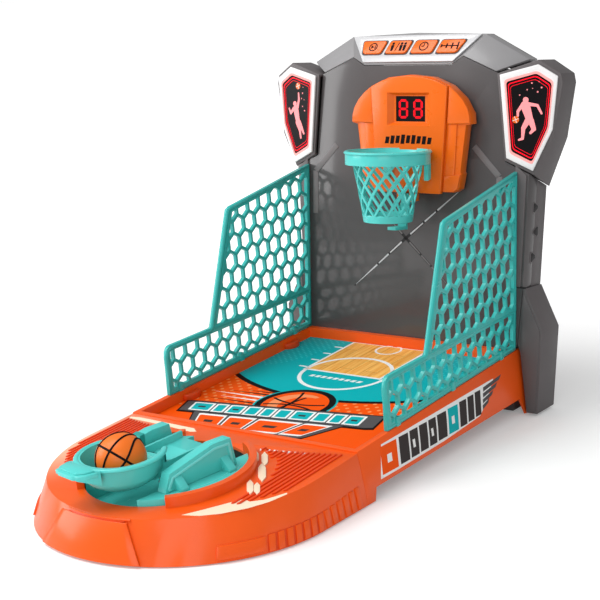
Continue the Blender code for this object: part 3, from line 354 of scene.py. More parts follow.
def moulded_surface():
    """Moulded plastic: slow drift of tone, flow marks, a fine grain and faint handling marks."""
    tree, given, result = group(
        "moulded_surface",
        [("Colour", "Color", (0.5, 0.5, 0.5, 1)), ("Drift", "Float", 0.08), ("Roughness", "Float", 0.35),
         ("Rub", "Float", 0.06), ("Grain Size", "Float", 2600.0)],
        [("Colour", "Color"), ("Roughness", "Float"), ("Height", "Float")])
    place = node(tree, "TexCoord").outputs["Object"]
    slow = node(tree, "TexNoise", {"Vector": place, "Scale": 22.0, "Detail": 3.0, "Roughness": 0.55})
    stretched = node(tree, "Mapping", {"Vector": place, "Scale": (1.0, 0.25, 1.0)})
    flow = node(tree, "TexNoise", {"Vector": stretched.outputs[0], "Scale": 120.0, "Detail": 4.0})
    both = math_node(tree, "ADD", slow.outputs["Fac"], math_node(tree, "MULTIPLY", flow.outputs["Fac"], 0.5))
    swing = math_node(tree, "MULTIPLY", math_node(tree, "SUBTRACT", both, 0.75), given.outputs["Drift"])
    value = math_node(tree, "ADD", swing, 1.0)
    toned = node(tree, "HueSaturation", {"Color": given.outputs["Colour"], "Value": value})
    tree.links.new(toned.outputs[0], result.inputs["Colour"])
    rub = math_node(tree, "MULTIPLY", math_node(tree, "SUBTRACT", flow.outputs["Fac"], 0.45),
                    given.outputs["Rub"])
    tree.links.new(math_node(tree, "ADD", given.outputs["Roughness"], rub), result.inputs["Roughness"])
    grain = node(tree, "TexNoise", {"Vector": place, "Scale": given.outputs["Grain Size"], "Detail": 2.0})
    tree.links.new(grain.outputs["Fac"], result.inputs["Height"])
    return tree


def printed_dots():
    """A regular screen of round dots, as printed on a sheet."""
    tree, given, result = group(
        "printed_dots",
        [("Pitch", "Float", 0.004), ("Dot", "Float", 0.3), ("Turn", "Vector", (0, 0, 0)),
         ("Centre", "Vector", (0, 0, 0))],
        [("Mask", "Float")])
    place = node(tree, "TexCoord").outputs["Object"]
    moved = node(tree, "VectorMath", {0: place, 1: given.outputs["Centre"]}, operation="SUBTRACT")
    laid = node(tree, "Mapping", {"Vector": moved.outputs[0], "Rotation": given.outputs["Turn"]})
    scaled = node(tree, "VectorMath", {0: laid.outputs[0], 3: 1.0}, operation="SCALE")
    tree.links.new(math_node(tree, "DIVIDE", 1.0, given.outputs["Pitch"]), scaled.inputs[3])
    cell = node(tree, "VectorMath", {0: scaled.outputs[0]}, operation="FRACTION")
    offset = node(tree, "VectorMath", {0: cell.outputs[0], 1: (0.5, 0.5, 0.5)}, operation="SUBTRACT")
    flat = node(tree, "VectorMath", {0: offset.outputs[0], 1: (1, 1, 0)}, operation="MULTIPLY")
    reach = node(tree, "VectorMath", {0: flat.outputs[0]}, operation="LENGTH")
    edge = math_node(tree, "SUBTRACT", given.outputs["Dot"], reach.outputs["Value"])
    soft = node(tree, "MapRange", {"Value": edge, "From Min": -0.03, "From Max": 0.03})
    tree.links.new(soft.outputs[0], result.inputs["Mask"])
    return tree


SURFACE = moulded_surface()
DOTS = printed_dots()


def paint(name, colour, roughness=0.35, drift=0.08, rub=0.06, grain=2600.0, depth=0.03, coat=0.0,
          metallic=0.0, glow=None, dots=None, second=None, shine=0.28):
    """A plastic, ink or metal with its own tone, gloss and grain. Dots are printed in a second colour."""
    made = bpy.data.materials.new(name)
    made.use_nodes = True
    tree = made.node_tree
    shader = tree.nodes["Principled BSDF"]
    shader.inputs["Metallic"].default_value = metallic
    shader.inputs["Coat Weight"].default_value = coat
    shader.inputs["Coat Roughness"].default_value = 0.12
    shader.inputs["Specular IOR Level"].default_value = shine
    base = (*colour, 1.0)
    if dots:
        pitch, size, turn = dots
        screen = node(tree, "Group", node_tree=DOTS)
        screen.inputs["Pitch"].default_value = pitch
        screen.inputs["Dot"].default_value = size
        screen.inputs["Turn"].default_value = turn
        base = blend_colour(tree, screen.outputs["Mask"], base, (*second, 1.0))
    surface = node(tree, "Group", node_tree=SURFACE)
    if dots:
        tree.links.new(base, surface.inputs["Colour"])
    else:
        surface.inputs["Colour"].default_value = base
    surface.inputs["Drift"].default_value = drift
    surface.inputs["Roughness"].default_value = roughness
    surface.inputs["Rub"].default_value = rub
    surface.inputs["Grain Size"].default_value = grain
    tree.links.new(surface.outputs["Colour"], shader.inputs["Base Color"])
    tree.links.new(surface.outputs["Roughness"], shader.inputs["Roughness"])
    bump = node(tree, "Bump", {"Strength": depth * 4, "Distance": 0.0001,
                               "Height": surface.outputs["Height"]})
    tree.links.new(bump.outputs[0], shader.inputs["Normal"])
    if glow:
        tree.links.new(surface.outputs["Colour"], shader.inputs["Emission Color"])
        shader.inputs["Emission Strength"].default_value = glow
    return made


ORANGE = paint("orange_plastic", (0.86, 0.098, 0.006), 0.30, 0.08, coat=0.12)
ORANGE_BOARD = paint("orange_board", (0.80, 0.135, 0.005), 0.28, 0.08, coat=0.15)
# a darker copy of the orange plastic: painted shade for the inner court walls, the gaps between skirt ridges
# and the finger scoop
ORANGE_SHADED = paint("orange_painted_shade", (0.72, 0.060, 0.006), 0.32, 0.08)
TEAL = paint("teal_plastic", (0.085, 0.60, 0.56), 0.26, 0.08, coat=0.2)
TEAL_NET = paint("net_teal", (0.035, 0.44, 0.41), 0.26, 0.08, coat=0.3)
# a lighter copy of the teal plastic: painted highlights along the guard's edge and the turntable's rings
TEAL_HIGHLIGHT = paint("teal_painted_highlight", (0.17, 0.72, 0.69), 0.24, 0.08, coat=0.2)
# a darker copy of the teal plastic: painted shade for the slot in the left guard
TEAL_SHADED = paint("teal_painted_shade", (0.02, 0.31, 0.28), 0.34, 0.10)
GREY = paint("grey_plastic", (0.118, 0.106, 0.108), 0.42, 0.10, rub=0.10, grain=1800.0, depth=0.06)
GREY_FACE = paint("grey_wall", (0.074, 0.067, 0.068), 0.42, 0.12, rub=0.10, grain=1800.0, depth=0.02,
                  coat=0.5)
GREY_FACE.node_tree.nodes["Principled BSDF"].inputs["Coat IOR"].default_value = 1.65
GREY_DARK = paint("grey_groove", (0.028, 0.026, 0.027), 0.5, 0.12, shine=0.2)
GREY_HEADER = paint("grey_header", (0.27, 0.265, 0.27), 0.30, 0.10, coat=0.2)
GREY_STRIPE_AND_GLINT = paint("grey_stripe_and_glint", (0.175, 0.163, 0.165), 0.4, 0.08)
SILVER_AND_GLINT = paint("silver_paint_and_glint", (0.57, 0.57, 0.58), 0.30, 0.06, coat=0.1, metallic=0.1)
WHITE = paint("white_plastic", (0.78, 0.77, 0.77), 0.3, 0.05, coat=0.1)
BLACK = paint("black_plastic", (0.010, 0.009, 0.010), 0.4, 0.2, shine=0.2)
RUBBER = paint("black_rubber", (0.02, 0.02, 0.02), 0.8, 0.2, grain=1400.0, depth=0.15, shine=0.2)
STEEL = paint("bright_steel", (0.55, 0.55, 0.57), 0.28, 0.06, rub=0.15, metallic=1.0)
BOARD_GREEN = paint("circuit_board", (0.02, 0.16, 0.06), 0.4, 0.2)
INK_WHITE = paint("white_ink", (0.84, 0.84, 0.83), 0.5, 0.03, shine=0.12)
INK_BLACK = paint("black_ink", (0.004, 0.003, 0.004), 0.5, 0.1, shine=0.10)
INK_GREY = paint("grey_ink", (0.085, 0.08, 0.085), 0.5, 0.1, shine=0.12)
INK_DARK = paint("dark_ink", (0.040, 0.032, 0.032), 0.5, 0.1, shine=0.12)
INK_TEAL = paint("teal_ink", (0.0, 0.41, 0.44), 0.5, 0.05, shine=0.10)
INK_TEAL_DOTS = paint("teal_ink_dots", (0.0, 0.41, 0.44), 0.5, 0.05, shine=0.10,
                      dots=(4.4 * MM, 0.24, (0, 0, math.radians(45))), second=(0.03, 0.54, 0.57))
INK_ORANGE = paint("orange_ink", (0.88, 0.085, 0.0), 0.5, 0.05, shine=0.10)
INK_ORANGE_DOTS = paint("orange_ink_dots", (0.88, 0.085, 0.0), 0.5, 0.05, shine=0.10,
                        dots=(7.0 * MM, 0.22, (0, 0, math.radians(45))), second=(0.92, 0.27, 0.08))
INK_PALE_ORANGE = paint("pale_orange_ink", (0.90, 0.27, 0.10), 0.5, 0.05, shine=0.12)
# cream for painted highlights on the deck, where the glossy orange mirrors the pale room
CREAM_HIGHLIGHT = paint("cream_painted_highlight", (0.93, 0.76, 0.56), 0.4, 0.06, coat=0.1)
GLOW_RED = paint("red_light", (0.92, 0.002, 0.015), 0.35, 0.15, glow=0.55, shine=0.12)
GLOW_RIM = paint("red_haze", (0.88, 0.34, 0.32), 0.4, 0.2, glow=0.20, shine=0.12)
GLOW_PALE = paint("pale_red_light", (0.90, 0.27, 0.28), 0.4, 0.3, glow=0.30, shine=0.12)
DIGIT = paint("red_digit", (0.80, 0.001, 0.010), 0.4, 0.3, glow=0.35, shine=0.12)
LENS = paint("black_lens", (0.004, 0.003, 0.004), 0.35, 0.2, shine=0.12)

# Every moulded part has its finish, and those that are seen get rounded edges
finishes = {
    "front_housing": ORANGE, "front_grip_panel": ORANGE, "rear_base": ORANGE, "court_sheet": INK_ORANGE,
    "net_panel_left": TEAL_NET, "net_panel_right": TEAL_NET, "tower_front": GREY_FACE, "tower_back": GREY,
    "tower_foot_left": GREY, "tower_foot_right": GREY, "tower_head_left": GREY, "tower_head_right": GREY,
    "badge_bezel_left": WHITE, "badge_bezel_right": WHITE, "badge_lens_left": LENS, "badge_lens_right": LENS,
    "header_cap": GREY_HEADER, "control_panel": SILVER_AND_GLINT, "button_1": ORANGE_BOARD, "button_2": ORANGE_BOARD,
    "button_3": ORANGE_BOARD, "button_4": ORANGE_BOARD, "hoop_board": ORANGE_BOARD,
    "hoop_board_back": ORANGE_BOARD, "display_window": LENS, "hoop_ring": TEAL, "net_basket": TEAL,
    "score_lever": TEAL, "turntable": TEAL, "guard_left": TEAL, "guard_right": TEAL, "launch_arm": TEAL,
    "battery_door": GREY, "power_switch": BLACK, "carriage_slider": WHITE, "drive_pinion": WHITE,
    "button_board": BOARD_GREEN, "main_board": BOARD_GREEN, "launcher_well": GREY_DARK,
}
for name, cad_node in frame["nodes"].items():
    steel = any(word in name for word in ("pin", "spring", "rail_", "motor", "screw"))
    finish = finishes.get(name, STEEL if steel else RUBBER if "rubber" in name else BLACK)
    cad_node.data.materials.clear()
    cad_node.data.materials.append(finish)
    cad_node.select_set(False)

HOUSING = moulding("front_housing", ORANGE, 0.7, 3, 28)
moulding("rear_base", ORANGE, 0.6, 3, 28)
for name in ("front_grip_panel", "tower_back", "tower_foot_left", "tower_foot_right", "tower_head_left",
             "tower_head_right", "header_cap", "badge_bezel_left", "badge_bezel_right", "hoop_board_back",
             "score_lever"):
    moulding(name, finishes[name], 0.45, 2)
moulding("tower_front", GREY_FACE, 0.5, 2)
moulding("hoop_board", ORANGE_BOARD, 0.8, 3)
for name in ("net_panel_left", "net_panel_right"):
    moulding(name, TEAL_NET, 0.55, 2, 25)


def reshaped(place, change):
    """A shaping that moves each corner, given in millimetres in the frame it is drawn in."""
    def shaping(piece):
        back = place.inverted()
        for corner in piece.data.vertices:
            x, y, z = (back @ corner.co) / MM
            corner.co = place @ (Vector(change(x, y, z)) * MM)
    return shaping


RING_OUT, NET_TOP = 47.0, 207.0


def longer_net(x, h, out):
    return x, NET_TOP + (h - NET_TOP) * 1.15, out


def deeper_ring(x, h, out):
    return x, h - 2.4 if math.hypot(x, out - RING_OUT) < 34.5 and h < 206 else h, out


def raised_cup(x, y, z):
    """The cup's rim and tab higher, and the trough shorter and lower."""
    if y > 70:
        return x, y - 16.0, 16.0 if z > 20 else z - 1.4
    if abs(x) < 17.1 and y > 14:
        return x, y, min(z, 14.5)
    if (z > 15.9 and math.hypot(x, y) > 20) or (y < -27 and z > 15):
        return x, y, z + 7.0
    return x, y, z


CUP = ARM @ Matrix.Translation((0, -49 * MM, -7.5 * MM))
moulding("net_basket", TEAL, 0.25, 1, 40, reshaped(HOOP, longer_net))
moulding("hoop_ring", TEAL, 0.6, 3, 30, reshaped(HOOP, deeper_ring))
moulding("turntable", TEAL, 0.5, 2)
moulding("launch_arm", TEAL, 0.35, 2, 40, reshaped(CUP, raised_cup))


# ---------------------------------------------------------------- the printed court

SHEET_TOP = -8.1 * MM


def court_print(name, outline, layer, finish):
    """One layer of ink on the court sheet."""
    piece = plate(name, outline, SHEET_TOP - 0.02 * MM, SHEET_TOP + layer * 0.035 * MM)
    return settle(piece, DECK, finish, "machine")


def court_ring(name, at, radius, width, layer, finish):
    low, high = SHEET_TOP - 0.02 * MM, SHEET_TOP + layer * 0.035 * MM
    inner, outer = radius - width / 2, radius + width / 2
    piece = turned(name, [(inner, low), (outer, low), (outer, high), (inner, high)], 72)
    return settle(piece, DECK @ Matrix.Translation((*at, 0)), finish, "machine")


def court_arc(radius, layer, name, finish):
    """The inside of the three point line, as far as the court's sides and rear."""
    centre, side, rear = (-9 * MM, 19 * MM), 95.3 * MM, -10 * MM
    first = math.degrees(-math.acos((side - centre[0]) / radius))
    last = math.degrees(-math.acos((-side - centre[0]) / radius))
    curve = arc(radius, last, first, 60, centre)
    court_print(name, [(-side, rear), *curve, (side, rear)], layer, finish)


court_print("court_dotted_field", mm([(-95.2, -92), (-95.2, -186), (95.2, -156), (95.2, -92)]), 1,
            INK_ORANGE_DOTS)
court_arc(159.5 * MM, 2, "court_line_black", INK_BLACK)
court_arc(155 * MM, 3, "court_field", INK_TEAL)
court_print("court_dots_left", mm([(-95.2, -10), (-95.2, -84), (-84, -86), (-66, -62), (-54, -10)]), 4,
            INK_TEAL_DOTS)
court_print("court_dots_right", mm([(95.2, -10), (36, -10), (52, -66), (78, -92), (95.2, -96)]), 4,
            INK_TEAL_DOTS)
court_ring("free_throw_circle", mm([(-11, -80)])[0], 37 * MM, 3.2 * MM, 5, INK_WHITE)
court_print("key_border", mm([(-50.4, -10), (-50.4, -83), (23.4, -83), (23.4, -10)]), 5, INK_WHITE)

planks = paint("wood_print", (0.80, 0.42, 0.13), 0.5, 0.05, shine=0.10)
tree = planks.node_tree
surface = next(item for item in tree.nodes if item.type == "GROUP")
place = node(tree, "TexCoord").outputs["Object"]
grain = node(tree, "Mapping", {"Vector": place, "Scale": (420.0, 26.0, 1.0)})
streaks = node(tree, "TexNoise", {"Vector": grain.outputs[0], "Scale": 1.0, "Detail": 6.0, "Roughness": 0.6,
                                  "Distortion": 0.6})
whorls = node(tree, "Mapping", {"Vector": place, "Scale": (90.0, 16.0, 1.0)})
waves = node(tree, "TexNoise", {"Vector": whorls.outputs[0], "Scale": 1.0, "Detail": 3.0, "Distortion": 1.8})
boards = node(tree, "Mapping", {"Vector": place, "Rotation": (0, 0, math.radians(90)), "Scale": (1, 1, 1)})
joints = node(tree, "TexBrick", {"Vector": boards.outputs[0], "Color1": (0.90, 0.90, 0.90, 1),
                                 "Color2": (1.0, 1.0, 1.0, 1), "Mortar": (0.55, 0.5, 0.45, 1), "Scale": 1.0,
                                 "Mortar Size": 0.00025, "Brick Width": 0.042, "Row Height": 0.0116})
tone = node(tree, "ValToRGB", {"Fac": streaks.outputs["Fac"]})
tone.color_ramp.elements[0].position = 0.34
tone.color_ramp.elements[0].color = (0.80, 0.30, 0.035, 1)
tone.color_ramp.elements[1].position = 0.62
tone.color_ramp.elements[1].color = (1.0, 0.60, 0.17, 1)
deeper = node(tree, "MapRange", {"Value": waves.outputs["Fac"], "From Min": 0.35, "From Max": 0.65,
                                 "To Min": 0.0, "To Max": 0.45})
shaded = blend_colour(tree, deeper.outputs[0], tone.outputs[0], (0.86, 0.36, 0.06, 1))
tree.links.new(blend_colour(tree, 1.0, shaded, joints.outputs["Color"], "MULTIPLY"), surface.inputs["Colour"])
court_print("key_boards", mm([(-48.2, -11), (-48.2, -80.6), (21.2, -80.6), (21.2, -11)]), 6, planks)
low_arc = arc(38.6 * MM, 1, 179, 30, (-11 * MM, -80 * MM)) + arc(35.4 * MM, 179, 1, 30, (-11 * MM, -80 * MM))
court_print("free_throw_inside", [(max(-48.2 * MM, min(21.2 * MM, x)), y) for x, y in low_arc], 7, INK_WHITE)
court_ring("hoop_circle", mm([(-9.8, -18.6)])[0], 10.6 * MM, 1.8 * MM, 7, INK_WHITE)
for number, y in enumerate((-26, -43, -60, -77)):
    for hand, near, far in (("left", -51, -58.5), ("right", 24, 31.5)):
        court_print(f"key_tick_{hand}_{number}",
                    mm([(near, y - 1), (near, y + 1), (far, y + 1), (far, y - 1)]), 5, INK_WHITE)
for number in range(9):
    x = -35 + number * 5.6
    court_print(f"key_dash_{number}", mm([(x, -91.5), (x + 3.6, -91.5), (x + 2.4, -95.5), (x - 1.2, -95.5)]),
                5, INK_WHITE)

# The printed ball, speed streaks and block banner in front of the arc
ball_at = mm([(-8, -153)])[0]
for name, radius, layer, finish in (("print_ball_rim", 33.0, 5, INK_TEAL),
                                    ("print_ball_line", 31.4, 6, INK_BLACK),
                                    ("print_ball", 26.2, 7, INK_ORANGE)):
    court_print(name, arc(radius * MM, 0, 354, 59, ball_at), layer, finish)
light = arc(21 * MM, 60, 250, 24, ball_at) + arc(17 * MM, 215, 80, 18, mm([(-3, -154)])[0])
court_print("print_ball_light", light, 8, INK_PALE_ORANGE)
print_seams = [((-8, -103), 242, 298), ((38, -160), 155, 205), ((-62, -150), -28, 24), ((-8, -206), 62, 118)]
for number, (middle, first, last) in enumerate(print_seams):
    centre = mm([middle])[0]
    curve = arc(51 * MM, first, last, 16, centre) + arc(49 * MM, last, first, 16, centre)
    court_print(f"print_ball_seam_{number}", curve, 9, INK_BLACK)
streaks = [(-38, -139, 26, 1.6, INK_BLACK), (-40, -144, 38, 2.2, INK_BLACK), (-41, -150, 46, 3.0, INK_WHITE),
           (-41, -157, 34, 2.4, INK_WHITE), (-40, -163, 44, 2.0, INK_BLACK)]
for number, (x, y, length, thick, finish) in enumerate(streaks):
    court_print(f"print_streak_{number}", mm([(x, y - thick / 2), (x, y + thick / 2), (x - length, y - 1.5)]),
                4, finish)


def between(corners, across, along_side):
    """A point inside four corners, given as shares of the width and the height."""
    (ax, ay), (bx, by), (cx, cy), (dx, dy) = corners
    top = (ax + (bx - ax) * across, ay + (by - ay) * across)
    low = (dx + (cx - dx) * across, dy + (cy - dy) * across)
    return (top[0] + (low[0] - top[0]) * along_side, top[1] + (low[1] - top[1]) * along_side)


def block(corners, first, last, top, low, cut=0.0):
    """A slanted block with two cut corners, inside four corners."""
    spots = [(first + cut, top), (last, top), (last, low - 2.2 * cut), (last - cut, low), (first, low),
             (first, top + 2.2 * cut)]
    return [between(corners, across, down) for across, down in spots]


banner = {
    "upper": (mm([(-85, -178), (66, -154), (69.5, -173), (-80, -194)]), INK_TEAL,
              (0.13, 0.08, 0.1, 0.09, 0.08, 0.09, 0.12, 0.09, 0.08, 0.1)),
    "lower": (mm([(-66, -196), (48, -180), (36, -207), (-53, -221)]), INK_ORANGE, (0.22, 0.21, 0.32, 0.2)),
}
for row, (corners, finish, widths) in banner.items():
    court_print(f"banner_{row}_shadow", block(corners, -0.05, 1.045, -0.20, 1.24, 0.04), 10, INK_BLACK)
    court_print(f"banner_{row}_plate", block(corners, -0.04, 1.035, -0.13, 1.10, 0.04), 11, INK_GREY)
    start = 0.005
    for number, width in enumerate(widths):
        end = start + width - 0.008
        court_print(f"banner_{row}_edge_{number}", block(corners, start, end, 0.0, 0.96, 0.016), 12,
                    INK_WHITE)
        margin = 0.012
        court_print(f"banner_{row}_block_{number}",
                    block(corners, start + margin, end - margin, 0.11, 0.86, 0.012), 13, finish)
        if width > 0.09:
            middle = (start + end) / 2
            court_print(f"banner_{row}_notch_{number}",
                        block(corners, middle - width * 0.16, middle + width * 0.16, 0.42, 0.58, 0.0), 14,
                        INK_DARK)
        start += width + 0.012 * (row == "lower")

# Half round stops low on the court's side walls, in the darker orange of painted shade
for hand in (-1, 1):
    for number, y in enumerate((-170, -38)):
        turns = [math.pi * i / 12 for i in range(13)]
        outline = [(hand * (96.4 * MM - 7.5 * MM * math.sin(a)), y * MM - 9 * MM * math.cos(a))
                   for a in turns]
        piece = plate(f"court_stop_{hand}_{number}", outline, -8.4 * MM, -3.4 * MM)
        settle(rounded(piece, 1.0 * MM, 3), DECK, ORANGE_SHADED, "machine")

# ---------------------------------------------------------------- the front deck

DECK_TOP = -1.0 * MM


def deck_relief(name, outline, height, finish, edge=0.0, low=-0.3):
    piece = plate(name, outline, DECK_TOP + low * MM, DECK_TOP + height * MM)
    if edge:
        rounded(piece, edge * MM, 2)
    return settle(piece, DECK, finish, "machine")


def rib(name, x, rear, front, half, finish, height=0.9):
    """One straight rib on the deck, its ends cut at a slant."""
    deck_relief(name, mm([(x - half, front - half), (x + half, front + half), (x + half, rear - half),
                          (x - half, rear + half)]), height, finish, 0.25)


RIB_RED = paint("rib_orange", (0.78, 0.060, 0.006), 0.3, 0.1, coat=0.1)
left_fronts = (-293, -306, -311, -315, -319, -323, -325)
for number, front in enumerate(left_fronts):
    rib(f"left_rib_{number}", -95.5 + number * 3.25, -240 - number * 0.6, front, 0.75, RIB_RED)
for number, x in enumerate((-73.0, -69.8, -66.6, -63.4, -60.2)):
    front = -307 + math.sqrt(max(0.0, 66.0 ** 2 - x * x)) if abs(x) < 66 else -300
    rib(f"left_short_rib_{number}", x, -243.5 - number * 0.5, max(front, -300 + number * 6) + 1, 0.75,
        RIB_RED)
for number in range(16):
    x = 36.5 + number * 3.75
    gap = 74.0 if number > 4 else 70.0
    inner = -307 + math.sqrt(gap ** 2 - x * x) if x < gap else -330
    front = inner if x < 73 else max(inner, -323 + (x - 81) * 1.9)
    rib(f"right_rib_{number}", x, -251.5 + number * 1.0, front, 0.8, RIB_RED, 1.0)

# The bright crescent, its honeycomb, and the bright strip beside the left ribs, in cream: painted highlights
# where the glossy deck mirrors the pale room
crescent = [(54.6, -356.8), (62, -345), (70, -331), (76, -321.5), (82, -322.8), (88.5, -317), (92, -310),
            (95.6, -302), (97.0, -304), (93.4, -318), (87.0, -331), (76.0, -345), (66.0, -353)]
deck_relief("deck_bright_crescent", mm(crescent), 0.06, CREAM_HIGHLIGHT, low=-0.1)
cells = [[(52.2, -271.2), (59.5, -276.5), (68.9, -288.8), (71.1, -295.9), (64.0, -290.9), (54.5, -278.6)],
         [(61.9, -296.6), (67.6, -300.4), (74.8, -309.7), (76.3, -315.1), (70.7, -311.5), (63.5, -302.2)],
         [(68.8, -298.2), (73.7, -301.4), (79.6, -309.2), (80.8, -313.8), (76.0, -310.8), (70.0, -303.0)],
         [(41.5, -254.2), (47.3, -258.3), (54.7, -268.0), (56.3, -273.7), (50.6, -269.7), (43.2, -260.0)],
         [(34.6, -255.0), (39.5, -258.4), (45.7, -266.4), (47.0, -271.1), (42.2, -267.9), (36.0, -259.9)]]
for number, outline in enumerate(cells):
    deck_relief(f"deck_cell_{number}", mm(outline[::-1]), 1.15, CREAM_HIGHLIGHT, 0.15)
strip = [(-97.5, -236), (-90, -234.5), (-36, -236.5), (-30, -241.0), (-34, -243), (-60, -240.5),
         (-96.8, -238.6)]
deck_relief("deck_bright_strip", mm(strip), 0.06, CREAM_HIGHLIGHT, low=-0.1)
for number in range(7):
    x = 33.5 + number * 5.2
    tooth = [(x, -249.0 + number * 0.9), (x + 3.4, -248.6 + number * 0.9), (x + 2.4, -252.4 + number * 0.8)]
    deck_relief(f"deck_bright_tooth_{number}", mm(tooth), 0.06, INK_WHITE, low=-0.1)

# Painted reflection: the front housing's orange fades to peach towards the rear left of the deck, where the
# glossy deck mirrors the pale room
left_painted_reflection = paint("deck_painted_reflection", (0.86, 0.098, 0.006), 0.3, 0.06, coat=0.12)
tree = left_painted_reflection.node_tree
surface = next(item for item in tree.nodes if item.type == "GROUP")
place = node(tree, "TexCoord").outputs["Object"]
centred = node(tree, "VectorMath", {0: place, 1: tuple(DECK @ Vector((-99 * MM, -290 * MM, 0)))},
               operation="SUBTRACT")
stretch = node(tree, "VectorMath", {0: centred.outputs[0], 1: (1.0, 0.55, 3.0)}, operation="MULTIPLY")
reach = node(tree, "VectorMath", {0: stretch.outputs[0]}, operation="LENGTH")
fade = node(tree, "MapRange", {"Value": reach.outputs["Value"], "From Min": 0.0, "From Max": 0.062,
                               "To Min": 0.70, "To Max": 0.0}, interpolation_type="SMOOTHERSTEP")
tree.links.new(blend_colour(tree, fade.outputs[0], (0.86, 0.098, 0.006, 1), (0.95, 0.60, 0.40, 1)),
               surface.inputs["Colour"])
HOUSING.data.materials.clear()
HOUSING.data.materials.append(left_painted_reflection)

# ---------------------------------------------------------------- the skirts

def rail_z(y):
    return RAIL_REAR + y * math.tan(SLOPE)


def nose_spot(turn, share, proud=0.0):
    """A point on the rounded front skirt: where round it, how far up, and how far off it."""
    a = math.radians(turn)
    out = Vector((math.cos(a), math.sin(a), 0))
    foot = Vector((0, -282.5 * MM, 1 * MM)) + out * 108 * MM
    top = Vector((0, -277 * MM, 0)) + out * 101 * MM
    top.z = rail_z(top.y) - 1.0 * MM
    return foot + (top - foot) * share + (out + Vector((0, 0, 0.2))).normalized() * proud


def nose_relief(name, first, last, low, high, proud, finish, steps, edge, sink=0.6):
    """A raised panel that follows the rounded skirt."""
    spots = [(first + (last - first) * i / steps, low) for i in range(steps + 1)]
    spots += [(last + (first - last) * i / steps, high) for i in range(steps + 1)]
    piece = plate(name, [(float(i), 0.0) for i in range(len(spots))], 0.0, 1.0)
    for corner in piece.data.vertices:
        turn, share = spots[round(corner.co.x)]
        corner.co = nose_spot(turn, share(turn) if callable(share) else share,
                              (proud if corner.co.z > 0.5 else -sink) * MM)
    hold(piece)
    bpy.ops.object.mode_set(mode="EDIT")
    bpy.ops.mesh.select_all(action="SELECT")
    bpy.ops.mesh.quads_convert_to_tris()
    bpy.ops.mesh.normals_make_consistent(inside=False)
    shut(piece)
    if edge:
        rounded(piece, edge * MM, 2, 35)
    return settle(piece, MACHINE, finish, "machine", 40)


for hand, flip in (("right", lambda a: a), ("left", lambda a: -180 - a)):
    nose_relief(f"skirt_block_{hand}", flip(-42.5), flip(-25.5), 0.06, 0.35, 1.3, ORANGE, 10, 0.45)
    for number in range(7):
        turn = -22.9 + number * 3.7
        nose_relief(f"skirt_ridge_{hand}_{number}", flip(turn - 1.25), flip(turn + 1.15), 0.02, 0.36, 0.9,
                    ORANGE, 3, 0.3)
    # painted shade: a darker band behind the skirt ridges, showing in the gaps between them
    nose_relief(f"skirt_groove_{hand}", flip(-24.6), flip(1.2), 0.015, 0.37, 0.12, ORANGE_SHADED, 12, 0)


def side_spot(hand, y, share, raised):
    """A point on the straight skirt: how far along it, how far up, and whether it stands proud."""
    top_z = rail_z(y * MM) - 1 * MM
    x = (108 - 7 * share) * MM + (0.9 if raised > 0.5 else -0.6) * MM
    return hand * x, y * MM, 1 * MM + (top_z - 1 * MM) * share


for hand in (-1, 1):
    for number in range(6):
        y = -277.5 + number * 7.2
        share = 0.37 + number * 0.012
        name = f"skirt_rear_ridge_{hand}_{number}"
        outline = [(y, 0.02), (y + 4.9, 0.02), (y + 4.9, share), (y, share)]
        piece = swung(plate(name, outline, 0.0, 1.0), lambda *spot: side_spot(hand, *spot))
        settle(rounded(piece, 0.2 * MM, 2), MACHINE, ORANGE, "machine")

# The finger scoop at the top of the grip panel, its darker orange a painted shade, and its lip
nose_relief("grip_scoop", -101.5, -75.5, lambda a: 0.93 - 0.085 * math.sin(math.pi * (a + 101.5) / 26),
            0.965, 1.05, ORANGE_SHADED, 12, 0.15, 0.4)
nose_relief("grip_lip", -102.3, -74.3, lambda a: 0.86 - 0.06 * math.sin(math.pi * (a + 102.3) / 28),
            lambda a: 0.925 - 0.085 * math.sin(math.pi * (a + 102.3) / 28), 1.9, ORANGE, 12, 0.4, 0.4)
nose_relief("grip_brow", -103.0, -73.4, 0.962, 0.992, 1.3, ORANGE, 12, 0.3, 0.4)

# Block decals on both side skirts
def skirt_decal(name, hand, corners, layer, finish):
    """A decal on the side skirt; its corners are along the side and up it."""
    def cut(first, last):
        (y0, u0), (y1, u1) = first, last
        a = (0.0, y0 * MM, u0 * MM)
        return a, (0.0, -(u1 - u0), (y1 - y0))
    cuts = []
    for first, last in zip(corners, corners[1:] + corners[:1]):
        cuts.append(cut(first, last))
    middle = Vector((0, sum(c[0] for c in corners) / len(corners) * MM,
                     sum(c[1] for c in corners) / len(corners) * MM))
    fixed = []
    for spot, direction in cuts:
        direction = Vector(direction).normalized()
        if (middle - Vector(spot)).dot(direction) > 0:
            direction = -direction
        fixed.append((spot, direction))
    return patch(name, SKIRT_FACES, lambda face: face.normal.x * hand > 0.9
                 and abs(face.calc_center_median().x) > 0.0985,
                 fixed, layer * 0.05 * MM, MACHINE, finish, "machine")


